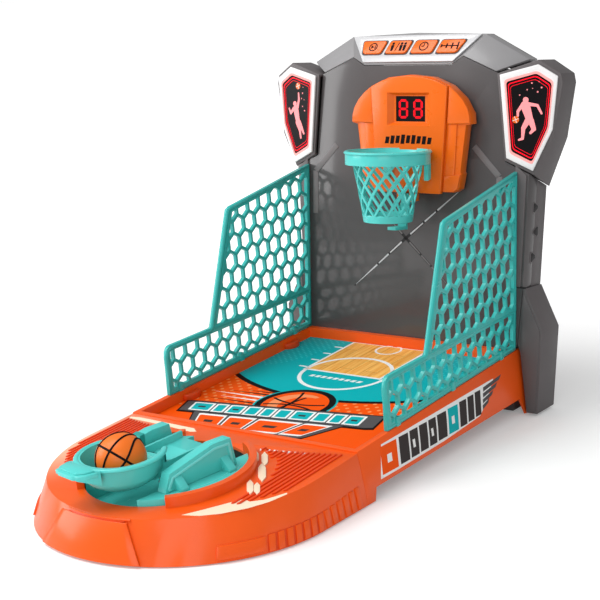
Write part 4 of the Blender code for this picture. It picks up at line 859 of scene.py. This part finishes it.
SKIRT_FACES = copy_of("rear_base", "skirt_faces")
white_back = [(-210.5, 12.6), (-202.5, 34.5), (-115, 37.6), (-65, 39.5), (-46, 39.8), (-60, 26),
              (-73, 18.0), (-125, 14.6), (-188, 12.9)]
blocks = [(-207.5, -187.5, 14.5, 33.0, INK_ORANGE), (-184.5, -172.5, 15.0, 33.2, INK_DARK),
          (-170.5, -160.0, 15.4, 33.5, INK_DARK), (-158.0, -147.5, 15.8, 33.8, INK_DARK),
          (-145.5, -135.5, 16.2, 34.1, INK_DARK), (-133.5, -121.0, 16.6, 34.5, INK_DARK),
          (-118.5, -104.5, 17.0, 35.0, INK_TEAL), (-102.0, -92.0, 17.6, 35.6, INK_DARK),
          (-90.0, -81.0, 18.2, 36.1, INK_DARK), (-79.0, -70.5, 18.8, 36.7, INK_DARK)]
for hand in (-1, 1):
    skirt_decal(f"decal_back_{hand}", hand, white_back, 1, INK_WHITE)
    for number, (first, last, low, high, finish) in enumerate(blocks):
        skirt_decal(f"decal_block_{hand}_{number}", hand,
                    [(first, low), (last, low), (last + 3.2, high), (first + 3.2, high)], 2, finish)
        width = last - first
        if number % 2 == 0 and width > 9:
            skirt_decal(f"decal_slot_{hand}_{number}", hand,
                        [(first + width * 0.42, low + 6.0), (last - width * 0.30, low + 6.0),
                         (last - width * 0.26, low + 11.5), (first + width * 0.46, low + 11.5)], 3, INK_WHITE)
    for number in range(4):
        base = -67.5 + number * 1.4
        skirt_decal(f"decal_wing_{hand}_{number}", hand,
                    [(base, 21.5 + number * 4.2), (base + 9.0 + number * 5.5, 24.3 + number * 4.2),
                     (base + 11.5 + number * 6.0, 27.3 + number * 4.2), (base + 0.6, 24.6 + number * 4.2)], 2,
                    INK_GREY)
bpy.data.objects.remove(SKIRT_FACES, do_unlink=True)

# ---------------------------------------------------------------- header panel and buttons

def frame_band(name, outer, inner, low, high):
    """A flat frame: one outline with a smaller one cut out of it."""
    piece = plate(name, outer, low, high)
    return carve(piece, plate("cutter", inner, low - 1 * MM, high + 1 * MM))


KEY_PITCH, KEY_MIDDLE = 24.0, 14.8


def button_outline(number, grow):
    x, middle = (number - 1.5) * KEY_PITCH * MM, KEY_MIDDLE * MM
    w, t = 10.0 * MM + grow * MM, 6.1 * MM + grow * MM
    left = 3 * MM * (-1 if number == 0 else 1) * 0.5
    right = 3 * MM * (2 if number == 3 else 1) * 0.5
    return softened([(x - w - left, middle - t), (x + w - right, middle - t), (x + w + right, middle + t),
                     (x - w + left, middle + t)], 2.6 * MM)


PANEL_TOP = math.hypot(PANEL_BACK, PANEL_RISE) - 1.0
panel = slab("panel_face", [(-42, 1.2), (42, 1.2), (60.5, PANEL_TOP), (-60.5, PANEL_TOP)], 0.5, 1.8)
for number in range(4):
    carve(panel, plate("cutter", button_outline(number, 0.4), 0, 3 * MM))
settle(rounded(panel, 0.3 * MM, 2), PANEL, SILVER_AND_GLINT, "machine")
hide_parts("control_panel")
for number in range(4):
    key = f"button_{number + 1}"
    piece = plate(key + "_face", button_outline(number, 0.0), -3.0 * MM, 3.05 * MM)
    settle(rounded(piece, 0.55 * MM, 3), PANEL, ORANGE_BOARD, body_of(key))
    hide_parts(key)
    band = frame_band(f"button_surround_{number + 1}", button_outline(number, 1.15),
                      button_outline(number, 0.35), 1.6 * MM, 2.0 * MM)
    settle(rounded(band, 0.15 * MM), PANEL, INK_GREY, "machine")


def sign(name, outline, number):
    """Part of a plain sign on a button's face."""
    x, size = (number - 1.5) * KEY_PITCH, 1.3
    piece = slab(name, [(x + a * size, KEY_MIDDLE + b * size) for a, b in outline], 3.0, 3.13)
    button = f"button_{number + 1}"
    return settle(piece, PANEL, INK_BLACK, body_of(button))


def open_ring(radius, width):
    return arc(radius, 2, 358, 30) + arc(radius - width, 358, 2, 30)


sign("sign_round", open_ring(3.1, 0.75), 0)
sign("sign_arrow", [(-1.5, -1.3), (0.7, 0), (-1.5, 1.3)], 0)
sign("sign_bar", [(1.0, -1.3), (1.7, -1.3), (1.7, 1.3), (1.0, 1.3)], 0)
for count, x in enumerate((-4.2, 2.0, 4.6)):
    sign(f"sign_peg_{count}", [(x - 0.8, -3.1), (x + 0.8, -3.1), (x + 1.1, 1.2), (x - 1.1, 1.2)], 1)
    sign(f"sign_knob_{count}", arc(0.95, 0, 330, 11, (x, 2.3)), 1)
sign("sign_slash", [(-1.9, -3.0), (-1.3, -3.0), (0.3, 3.0), (-0.3, 3.0)], 1)
sign("sign_clock", open_ring(3.3, 0.75), 2)
sign("sign_hands", [(-1.7, -0.35), (0.35, -0.35), (0.35, 2.2), (-0.35, 2.2), (-0.35, 0.35), (-1.7, 0.35)], 2)
sign("sign_line", [(-6.2, -0.4), (6.2, -0.4), (6.2, 0.4), (-6.2, 0.4)], 3)
for count, x in enumerate((-5.9, -2.2, 1.6, 5.6)):
    sign(f"sign_tick_{count}", [(x - 0.5, -1.2 - count * 0.5), (x + 0.5, -1.2 - count * 0.5),
                                (x + 0.5, 1.2 + count * 0.5), (x - 0.5, 1.2 + count * 0.5)], 3)

# ---------------------------------------------------------------- lit shields

SHIELD = [(-17.5, -33), (3.5, -42.5), (18.5, -11), (22.2, 29), (7, 38), (-23.2, 30.5)]


def shield(side, across, up, low=-0.3):
    return softened(mm([(side * (x * across + 0.2), y * up + low) for x, y in SHIELD]), 2.4 * MM)


def capsule(start, end, wide, narrow):
    """A limb: two rounds of their own radius and the sides between them."""
    lean = math.degrees(math.atan2(end[1] - start[1], end[0] - start[0]))
    return arc(wide, lean + 90, lean + 270, 8, start) + arc(narrow, lean - 90, lean + 90, 8, end)


figures = {
    1: [((-3.2, 13.2), (-3.0, 13.2), 2.5, 2.5), ((-3.4, 8.2), (0.2, -2.5), 4.3, 3.3),
        ((-6.2, 8.6), (-10.2, 3.0), 1.6, 1.2), ((-10.2, 3.0), (-10.2, -0.8), 1.2, 1.0),
        ((0.4, 9.4), (7.6, 8.4), 1.6, 1.2), ((7.6, 8.4), (11.4, 1.4), 1.2, 0.9),
        ((-0.8, -4.6), (-5.0, -11.6), 2.8, 2.0), ((-5.0, -11.6), (-5.6, -20.6), 1.9, 1.2),
        ((-5.6, -20.8), (-9.0, -22.0), 1.3, 0.8), ((1.8, -5.0), (4.6, -12.4), 2.8, 2.0),
        ((4.6, -12.4), (1.6, -15.8), 1.8, 1.1)],
    -1: [((-3.4, 8.4), (-3.2, 8.4), 2.4, 2.4), ((-2.2, 3.4), (0.6, -8.0), 3.6, 2.8),
         ((0.4, 4.6), (2.6, 12.4), 1.6, 1.2), ((2.6, 12.4), (2.2, 18.6), 1.2, 0.9),
         ((-5.0, 3.8), (-9.4, -1.2), 1.6, 1.2), ((-9.4, -1.2), (-11.6, 3.6), 1.2, 0.8),
         ((0.0, -10.0), (3.4, -17.0), 2.5, 1.8), ((3.4, -17.0), (4.6, -25.0), 1.6, 1.0),
         ((2.6, -9.6), (6.4, -16.0), 2.4, 1.6), ((6.4, -16.0), (9.0, -20.6), 1.5, 1.0)],
}
balls = {1: (-10.4, -3.6), -1: (1.6, 22.0)}
sparks = {1: [(2.0, 24.0), (7.6, 25.0), (-1.6, 19.0), (6.6, 17.4), (2.6, 20.0), (-7.4, 15.0), (9.6, 20.6)],
          -1: [(6.8, 16.0), (8.6, 10.6), (6.6, 5.0), (9.0, 1.4), (7.6, 21.0), (5.4, 11.6)]}
for side, hand in ((-1, "left"), (1, "right")):
    for label, outer, inner, low, high, finish in (
            ("haze", (0.85, 0.88), (0.79, 0.83), 1.6, 2.32, GLOW_RIM),
            ("light", (0.735, 0.787), (0.708, 0.765), 1.3, 1.62, GLOW_RED),
            ("line", (0.655, 0.72), (0.645, 0.711), 1.3, 1.5, GLOW_RED)):
        band = frame_band(f"shield_{label}_{hand}", shield(side, *outer), shield(side, *inner),
                          low * MM, high * MM)
        settle(band, badge(side), finish, "machine")
    for number, (start, end, wide, narrow) in enumerate(figures[side]):
        scale = 0.86
        piece = plate(f"player_{hand}_{number}",
                      mm([(x * scale, y * scale) for x, y in capsule(start, end, wide, narrow)]),
                      1.3 * MM, 1.5 * MM + number * 0.012 * MM)
        settle(piece, badge(side), GLOW_PALE, "machine")
    piece = plate(f"player_ball_{hand}", arc(2.7 * MM, 0, 345, 23, mm([balls[side]])[0]), 1.3 * MM, 1.72 * MM)
    settle(piece, badge(side), ORANGE_BOARD, "machine")
    for number, turn in enumerate((20, 110)):
        a = math.radians(turn)
        x, y = balls[side]
        bar = [(x - 2.6 * math.cos(a) - 0.2 * math.sin(a), y - 2.6 * math.sin(a) + 0.2 * math.cos(a)),
               (x - 2.6 * math.cos(a) + 0.2 * math.sin(a), y - 2.6 * math.sin(a) - 0.2 * math.cos(a)),
               (x + 2.6 * math.cos(a) + 0.2 * math.sin(a), y + 2.6 * math.sin(a) - 0.2 * math.cos(a)),
               (x + 2.6 * math.cos(a) - 0.2 * math.sin(a), y + 2.6 * math.sin(a) + 0.2 * math.cos(a))]
        piece = slab(f"player_ball_seam_{hand}_{number}", bar, 1.5, 1.8)
        settle(piece, badge(side), INK_WHITE, "machine")
    for number, (x, y) in enumerate(sparks[side]):
        radius = (0.9, 0.5, 0.7)[number % 3]
        star = [(x + radius * (1 if i % 2 == 0 else 0.5) * math.cos(math.pi * i / 5),
                 y + radius * (1 if i % 2 == 0 else 0.5) * math.sin(math.pi * i / 5)) for i in range(10)]
        settle(slab(f"spark_{hand}_{number}", star, 1.3, 1.5), badge(side), GLOW_PALE, "machine")

# ---------------------------------------------------------------- the moving board

FACE = 13.5 * MM


def board_piece(name, outline, low, high, edge=0.35, finish=ORANGE_BOARD):
    piece = plate(name, mm(outline), FACE + low * MM, FACE + high * MM)
    return settle(rounded(piece, edge * MM, 3), HOOP, finish, "hoop") if edge else \
        settle(piece, HOOP, finish, "hoop")


middle_board = [(-29.6, 173.0), (29.6, 173.0), (33.4, 226.0), (35.4, 257.0), (24.0, 261.9), (12.0, 264.4),
                (0.0, 265.3), (-12.0, 264.4), (-24.0, 261.9), (-35.4, 257.0), (-33.4, 226.0)]
centre = plate("board_centre", mm(middle_board), FACE - 0.4 * MM, FACE + 3.6 * MM)
rounded(centre, 0.7 * MM, 3)
window = mm([(-13.7, 229.2), (13.7, 229.2), (13.7, 249.4), (-13.7, 249.4)])
opening = plate("cutter", window, FACE - 1 * MM, FACE + 4 * MM)
for corner in opening.data.vertices:
    if corner.co.z > FACE:
        corner.co.x = 20.2 * MM if corner.co.x > 0 else -20.2 * MM
        corner.co.y = 252.4 * MM if corner.co.y > 240 * MM else 226.2 * MM
carve(centre, opening)
settle(centre, HOOP, ORANGE_BOARD, "hoop")
for hand in (-1, 1):
    shoulder = [(34.4, 227.8), (54.7, 228.4), (54.4, 234.0), (52.6, 240.0), (48.4, 246.6), (42.6, 252.4),
                (37.4, 256.0), (36.0, 256.4)]
    board_piece(f"board_shoulder_{hand}", flipped(hand, shoulder), -0.4, 2.0, 0.7)
    step = [(31.0, 174.6), (40.0, 174.8), (43.7, 177.2), (46.2, 188.8), (31.9, 187.0)]
    board_piece(f"board_step_{hand}", flipped(hand, step), -0.4, 1.7, 0.6)
    wing = [(32.2, 187.0), (40.6, 187.8), (42.8, 227.9), (34.2, 227.9)]
    board_piece(f"board_rib_{hand}", flipped(hand, wing), -0.4, 0.9, 0.4)
settle(plate("board_surround", window, FACE - 1.1 * MM, FACE - 0.55 * MM), HOOP, LENS, "hoop")

SEGMENTS = {"top": (0, 6.6, 0), "upper_left": (-3.4, 3.3, 1), "upper_right": (3.4, 3.3, 1),
            "middle": (0, 0, 0), "lower_left": (-3.4, -3.3, 1), "lower_right": (3.4, -3.3, 1),
            "bottom": (0, -6.6, 0)}
for digit, x0 in enumerate((-6.8, 6.8)):
    for name, (x, y, upright) in SEGMENTS.items():
        reach, half = 3.0, 0.95
        spots = [(-reach, 0), (-reach + half, -half), (reach - half, -half), (reach, 0), (reach - half, half),
                 (-reach + half, half)]
        spots = [(b, a) for a, b in spots] if upright else spots
        piece = plate(f"digit_{digit}_{name}", mm([(x0 + x + a, 239.2 + y + b) for a, b in spots]),
                      FACE - 0.6 * MM, FACE - 0.4 * MM)
        settle(piece, HOOP, DIGIT, "hoop")

# A generic mark: a row of slanted black bars
for number, tall in enumerate((5.4, 6.6, 6.0, 7.4, 6.2, 7.0, 5.8, 6.4, 5.2)):
    x, h = -19.6 + number * 4.9, 214.6 + 0.9 * math.sin(number * math.pi / 8)
    bar = [(x - 2.3, h - tall / 2), (x + 1.2, h - tall / 2), (x + 2.3, h + tall / 2), (x - 1.2, h + tall / 2)]
    board_piece(f"board_mark_{number}", bar, 3.5, 3.7, 0, INK_BLACK)

# The ring's rolled lip
lip = turned("ring_lip", [(33.4 * MM + 1.0 * MM * math.cos(a), 1.0 * MM * math.sin(a))
                          for a in [math.radians(30 * i) for i in range(12)]], 64)
ring_at = HOOP @ Matrix.Translation((0, 207.3 * MM, RING_OUT * MM)) @ Matrix.Rotation(-math.pi / 2, 4, "X")
settle(lip, ring_at, TEAL, "hoop")

# ---------------------------------------------------------------- the tower's face

def wall_piece(name, outline, low, high, finish, edge=0.0):
    piece = slab(name, outline, low, high)
    if edge:
        rounded(piece, edge * MM, 2)
    return settle(piece, TOWER, finish, "machine")


def stroke(start, end, half, other=None):
    """The outline of a straight stroke, tapered if a second half width is given."""
    (ax, ay), (bx, by) = start, end
    length = math.hypot(bx - ax, by - ay)
    nx, ny = -(by - ay) / length, (bx - ax) / length
    far = half if other is None else other
    return [(ax + nx * half, ay + ny * half), (ax - nx * half, ay - ny * half),
            (bx - nx * far, by - ny * far), (bx + nx * far, by + ny * far)]


hub = (-1.5, 134)
for number, tip in enumerate(((53, 178), (-52.5, 90.6), (43, 94), (-46, 176))):
    wall_piece(f"cross_groove_{number}", stroke(hub, tip, 1.3, 0.5), -0.2, 0.06, GREY_DARK)
    # painted highlights: pale glints laid along the X grooves
    for count, (first, last) in enumerate(((0.08, 0.30), (0.33, 0.52), (0.55, 0.97))):
        start = [hub[i] + (tip[i] - hub[i]) * first for i in (0, 1)]
        end = [hub[i] + (tip[i] - hub[i]) * last for i in (0, 1)]
        wall_piece(f"cross_glint_{number}_{count}", stroke(start, end, 0.7, 0.15 if count == 2 else 0.5),
                   -0.2, 0.12, SILVER_AND_GLINT if number < 2 else GREY_STRIPE_AND_GLINT)
bands = [((61.5, 210), (84, 187)), ((-69, 208.5), (-91, 186)), ((84, 187), (84.5, 150)),
         ((-91, 186), (-91.5, 150))]
for number, (start, end) in enumerate(bands):
    wall_piece(f"wall_band_{number}", stroke(start, end, 2.6), -0.2, 0.35, GREY_STRIPE_AND_GLINT, 0.25)


def pillar_spot(hand, proud, deep, high, raised):
    """A point on the outer side of a pillar, which leans outward."""
    lean = (high - 101 * MM) / (89 * MM) * 4.4 * MM
    return hand * (105.2 * MM + lean + (proud * MM if raised > 0.5 else -0.5 * MM)), high, -deep


# Pillar strips beside the wall, their triangular recesses drawn as raised rims with a dark centre of painted
# shade, and chamfers of the feet
for hand in (-1, 1):
    strip = [(97.0, 102), (103.6, 102), (108.0, 189), (98.4, 197)]
    wall_piece(f"pillar_strip_{hand}", flipped(hand, strip), -0.3, 1.3, GREY, 0.6)
    foot_line = [(99.5, 101.0), (108.0, 101.0), (108.0, 102.2), (99.5, 102.2)]
    wall_piece(f"pillar_foot_line_{hand}", flipped(hand, foot_line), -0.3, 0.6, GREY_DARK)
    facet = [(110.2, 4.5), (117.6, 4.5), (120.6, 68.6), (106.6, 98.0), (104.4, 60)]
    wall_piece(f"foot_facet_{hand}", flipped(hand, facet), -0.3, 0.9, GREY, 0.7)
    for number, h in enumerate((163, 144, 124)):
        point = -1 if number == 1 else 1
        depth = 15 * MM
        spots = [(depth - point * 6.2 * MM, h * MM - 6.0 * MM), (depth + point * 6.0 * MM, h * MM),
                 (depth - point * 6.2 * MM, h * MM + 6.0 * MM)]
        outline = []
        for i, spot in enumerate(spots):
            before, after = spots[i - 1], spots[(i + 1) % 3]
            for other in (before, after):
                outline.append((spot[0] + (other[0] - spot[0]) * 0.2, spot[1] + (other[1] - spot[1]) * 0.2))
        for kind, scale, finish, proud in (("rim", 1.0, GREY, 0.35), ("well", 0.80, GREY_DARK, 0.42)):
            shape = [((a - depth) * scale + depth, (b - h * MM) * scale + h * MM) for a, b in outline]
            piece = swung(plate(f"pillar_{kind}_{hand}_{number}", shape, 0.0, 1.0),
                          lambda *spot: pillar_spot(hand, proud, *spot))
            settle(rounded(piece, 0.2 * MM, 2), TOWER, finish, "machine")

# ---------------------------------------------------------------- rounded bars and clips of the net panels

LEAN = math.tan(math.radians(7.7))
for hand, label in ((-1, "left"), (1, "right")):
    x = hand * 98.8
    rear_low, rear_top = -4.2 + 2.2 * LEAN - 2.0, -4.2 + 138.5 * LEAN - 2.2
    rail = [(-189.3, 1.8), (-189.0, 30), (-187.6, 34.6), (-183.4, 36.4), (-135.6, 35.4), (-133.0, 37.6),
            (-99.6, 121.0), (-98.2, 124.0), (-95.4, 124.8), (rear_top, 136.2), (rear_low, 2.6)]
    bar = wire(f"net_rail_{label}", mm([(x, y, z) for y, z in rail]), 2.15 * MM, True, 3)
    settle(bar, DECK, TEAL_NET, "machine", 50)
    bar = wire(f"net_mid_bar_{label}", mm([(x, -134.5, 36.6), (x, -5.0 + 34 * LEAN, 32.4)]), 1.9 * MM,
               False, 3)
    settle(bar, DECK, TEAL_NET, "machine", 50)
    for number, y in enumerate((-178, -102, -28)):
        clip = slab(f"net_clip_{label}_{number}",
                    [(y - 2.6, -0.4), (y + 2.6, -0.4), (y + 2.2, 6.6), (y - 2.2, 6.6)],
                     -2.5, 2.5)
        swung(clip, lambda a, b, c: (x * MM + c, a, b))
        settle(rounded(clip, 0.5 * MM, 2), DECK, TEAL_NET, "machine")

# ---------------------------------------------------------------- the ball

BALL_AT = TURNTABLE @ Matrix.Translation((0, -35 * MM, 20.8 * MM))
BALL_SKIN = paint("ball_rubber", (0.84, 0.165, 0.012), 0.42, 0.1, coat=0.1)
tree = BALL_SKIN.node_tree
bump = next(item for item in tree.nodes if item.type == "BUMP")
pebbles = node(tree, "TexVoronoi", {"Vector": node(tree, "TexCoord").outputs["Object"], "Scale": 1100.0},
               feature="F1")
tree.links.new(pebbles.outputs["Distance"], bump.inputs["Height"])
bump.inputs["Strength"].default_value = 0.25

let_go()
bpy.ops.mesh.primitive_ico_sphere_add(subdivisions=5, radius=17 * MM)
skin = bpy.context.object
skin.name = "ball_skin"


def seam(name, spots):
    return wire(name, [tuple(Vector(spot).normalized() * 16.95 * MM) for spot in spots], 0.78 * MM, True)


seams = []
for name, plane in (("long", lambda a: (math.cos(a), math.sin(a), 0)),
                    ("round", lambda a: (0, math.cos(a), math.sin(a)))):
    seams.append(seam("ball_seam_" + name, [plane(2 * math.pi * i / 72) for i in range(72)]))
for hand in (-1, 1):
    spots = []
    for i in range(72):
        a = 2 * math.pi * i / 72
        spots.append((hand * (0.52 + 0.30 * math.cos(2 * a)), 0.92 * math.cos(a), 0.92 * math.sin(a)))
    seams.append(seam(f"ball_seam_curve_{hand}", spots))
for line in seams:
    grooved = line.copy()
    grooved.data = line.data.copy()
    bpy.context.scene.collection.objects.link(grooved)
    line.data.transform(Matrix.Scale(0.994, 4))
    carve(skin, grooved)
BALL_TURN = Matrix.Rotation(math.radians(28), 4, "Z") @ Matrix.Rotation(math.radians(-38), 4, "X") @ \
    Matrix.Rotation(math.radians(24), 4, "Y")
settle(skin, BALL_AT @ BALL_TURN, BALL_SKIN, "loose_ball", 60)
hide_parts("ball")
settle(join("ball_seams", seams), BALL_AT @ BALL_TURN, INK_BLACK, "loose_ball", 60)

# ---------------------------------------------------------------- launcher details

rim_profile = [(28.4 * MM + 2.1 * MM * math.cos(a), 24.0 * MM + 1.5 * MM * math.sin(a))
               for a in [math.radians(30 * i) for i in range(12)]]
rim = turned("cup_rim", rim_profile, 72)
mouth = slab("cutter", [(-17, 10), (17, 10), (17, 40), (-17, 40)], 10, 35)
carve(rim, mouth)
settle(rim, CUP, TEAL, "launcher", 50)
for name, grow, low, high in (("tab_base", 0.0, 22.2, 25.2), ("tab_top", -2.6, 24.8, 26.4)):
    tab = slab(name, [(-17 - grow, -29.5), (-14.5 - grow, -37.5 - grow * 0.3), (-8, -43.2 - grow),
                      (8, -43.2 - grow), (14.5 + grow, -37.5 - grow * 0.3), (17 + grow, -29.5)], low, high)
    settle(rounded(tab, 0.7 * MM, 2), CUP, TEAL, "launcher")


def guard_shape(hand, name, points, inner, outer, finish, edge=0.6):
    """A piece seen from the side in (along, up), between two distances from the middle."""
    piece = slab(name, points, min(hand * inner, hand * outer), max(hand * inner, hand * outer))
    swung(piece, lambda a, b, c: (c, a, b))
    rounded(piece, edge * MM, 3)
    return settle(piece, TURNTABLE, finish, "swivel")


moulding("guard_right", TEAL, 1.0, 3)
moulding("guard_left", TEAL, 1.0, 3, 30,
         reshaped(TURNTABLE, lambda x, y, z: (x, y, 3 + (z - 3) * 0.78 if z > 3.6 else z)))
# a pale teal line along the guard's edge: a painted highlight
border = [(-27.5, 4.2), (-27.5, 6.2), (-23.4, 12.8), (12.2, 20.6), (25.2, 20.2), (27.4, 4.2), (25.4, 4.2),
          (23.6, 18.4), (12.4, 18.8), (-22.4, 11.2), (-25.2, 6.2), (-25.2, 4.2)]
guard_shape(1, "guard_border", border, 36.4, 37.9, TEAL_HIGHLIGHT, 0.3)
for hand in (-1, 1):
    for name, y, reach in (("front", -19, 7.6), ("rear", 20, 8.6)):
        outline = [(36.6, 2.8), (36.6 + reach, 2.8), (36.6 + reach, 4.6), (36.6, 12.5)]
        gusset = slab(f"guard_gusset_{name}_{hand}", outline, y - 3.2, y + 3.2)
        swung(gusset, lambda a, b, c: (hand * a, c, b))
        settle(rounded(gusset, 0.5 * MM, 2), TURNTABLE, TEAL, "swivel")
# the slot in the left guard, its darker teal a painted shade
guard_shape(-1, "guard_slot", [(1.5, 7.0), (5.5, 7.0), (5.5, 18.3), (1.5, 17.6)], 28.7, 37.3, TEAL_SHADED, 0.3)
# pale teal arcs on the turntable: painted highlights
for number, radius in enumerate((50.5, 46.5)):
    for hand in (-1, 1):
        span = math.degrees(math.acos(40 / radius))
        middle = 0 if hand > 0 else 180
        outline = arc(radius * MM, middle - span, middle + span, 20)
        outline += arc((radius - 0.5) * MM, middle + span, middle - span, 20)
        piece = plate(f"turntable_line_{number}_{hand}", outline, 2.8 * MM, 3.15 * MM)
        settle(piece, TURNTABLE, TEAL_HIGHLIGHT, "swivel")

# ---------------------------------------------------------------- the rear

for hand in (-1, 1):
    for number, h in enumerate((30, 150, 205, 250)):
        x = hand * (88 if h < 200 else 72)
        boss = turned(f"rear_boss_{hand}_{number}",
                      mm([(0, 0), (5.0, 0), (5.0, 0.8), (3.2, 1.0), (3.0, 0.4), (0, 0.4)]), 24)
        place = TOWER @ Matrix.Translation((x * MM, h * MM, -30 * MM)) @ Matrix.Rotation(math.pi, 4, "X")
        settle(boss, place, GREY, "machine")
        screw = turned(f"rear_screw_{hand}_{number}",
                       mm([(0, 0.2), (2.4, 0.2), (2.4, 0.7), (1.6, 1.1), (0, 1.1)]), 20)
        for turn in (0, 90):
            bar = slab("cutter", [(-1.5, -0.3), (1.5, -0.3), (1.5, 0.3), (-1.5, 0.3)], 0.7, 2)
            bar.data.transform(Matrix.Rotation(math.radians(turn), 4, "Z"))
            carve(screw, bar)
        settle(screw, place, STEEL, "machine")
for number in range(7):
    h = 74 + number * 2.6
    piece = slab(f"door_grip_{number}", [(-11, h + 14), (11, h + 14), (11, h + 15.2), (-11, h + 15.2)],
                 -30.7, -29.8)
    settle(rounded(piece, 0.25 * MM, 2), TOWER, GREY, "machine")
moulding("battery_door", GREY, 0.3)
border = frame_band("battery_border", mm([(-33, 68), (33, 68), (33, 124), (-33, 124)]),
                    mm([(-30, 71), (30, 71), (30, 121), (-30, 121)]), -30.8 * MM, -29.8 * MM)
settle(rounded(border, 0.3 * MM, 2), TOWER, GREY, "machine")

# ---------------------------------------------------------------- floor, lamps and camera

let_go()
bpy.ops.mesh.primitive_plane_add(size=60, location=(0, 0, 0))
floor = bpy.context.object
floor.name = "studio_floor"
plain = bpy.data.materials.new("studio_paper")
plain.use_nodes = True
tree = plain.node_tree
shader = tree.nodes["Principled BSDF"]
shader.inputs["Base Color"].default_value = (0.86, 0.86, 0.86, 1)
shader.inputs["Roughness"].default_value = 0.9
rays = node(tree, "LightPath")
reach = node(tree, "VectorMath", {0: node(tree, "TexCoord").outputs["Object"]}, operation="LENGTH")
away = node(tree, "MapRange", {"Value": reach.outputs["Value"], "From Min": 0.25, "From Max": 1.1,
                               "To Min": 0.20, "To Max": 0.65}, interpolation_type="SMOOTHSTEP")
glow = math_node(tree, "MULTIPLY", rays.outputs["Is Camera Ray"], away.outputs[0])
lift = node(tree, "Emission", {"Color": (1, 1, 1, 1), "Strength": glow})
total = node(tree, "AddShader", {0: shader.outputs[0], 1: lift.outputs[0]})
tree.links.new(total.outputs[0], tree.nodes["Material Output"].inputs["Surface"])
floor.data.materials.append(plain)

world = bpy.data.worlds.new("studio")
bpy.context.scene.world = world
world.use_nodes = True
tree = world.node_tree
sky = tree.nodes["Background"]
rays = node(tree, "LightPath")
sky.inputs["Color"].default_value = (1, 1, 1, 1)
diffuse = math_node(tree, "MULTIPLY", rays.outputs["Is Diffuse Ray"], 0.22)
seen = math_node(tree, "MULTIPLY", rays.outputs["Is Camera Ray"], 0.66)
tree.links.new(math_node(tree, "ADD", 0.34, math_node(tree, "ADD", diffuse, seen)), sky.inputs["Strength"])

for name, spot, aim, size, power in (("lamp_above", (-0.5, -0.5, 1.3), (0, -0.1, 0.1), 0.9, 12.5),
                                     ("lamp_left", (-1.3, -0.7, 0.6), (0, -0.1, 0.1), 0.8, 9.5),
                                     ("lamp_front", (0.7, -1.5, 0.7), (0, -0.1, 0.15), 1.0, 7.0)):
    light = bpy.data.lights.new(name, "AREA")
    light.size = size
    light.energy = power
    lamp = bpy.data.objects.new(name, light)
    lamp.location = spot
    lamp.rotation_euler = (Vector(aim) - Vector(spot)).to_track_quat("-Z", "Y").to_euler()
    bpy.context.scene.collection.objects.link(lamp)

eye = bpy.data.cameras.new("camera")
eye.lens = 86.486
camera = bpy.data.objects.new("camera", eye)
right = Vector((0.80668, 0.58831, -0.05617))
up = Vector((-0.08582, 0.21065, 0.97379))
back = Vector((0.58472, -0.78072, 0.22042))
spot = MACHINE @ Vector((0.62161, -0.97859, 0.34878))
camera.matrix_world = Matrix(((right.x, up.x, back.x, spot.x), (right.y, up.y, back.y, spot.y),
                              (right.z, up.z, back.z, spot.z), (0, 0, 0, 1)))
bpy.context.scene.collection.objects.link(camera)
bpy.context.scene.camera = camera
bpy.context.scene.view_settings.view_transform = "Standard"
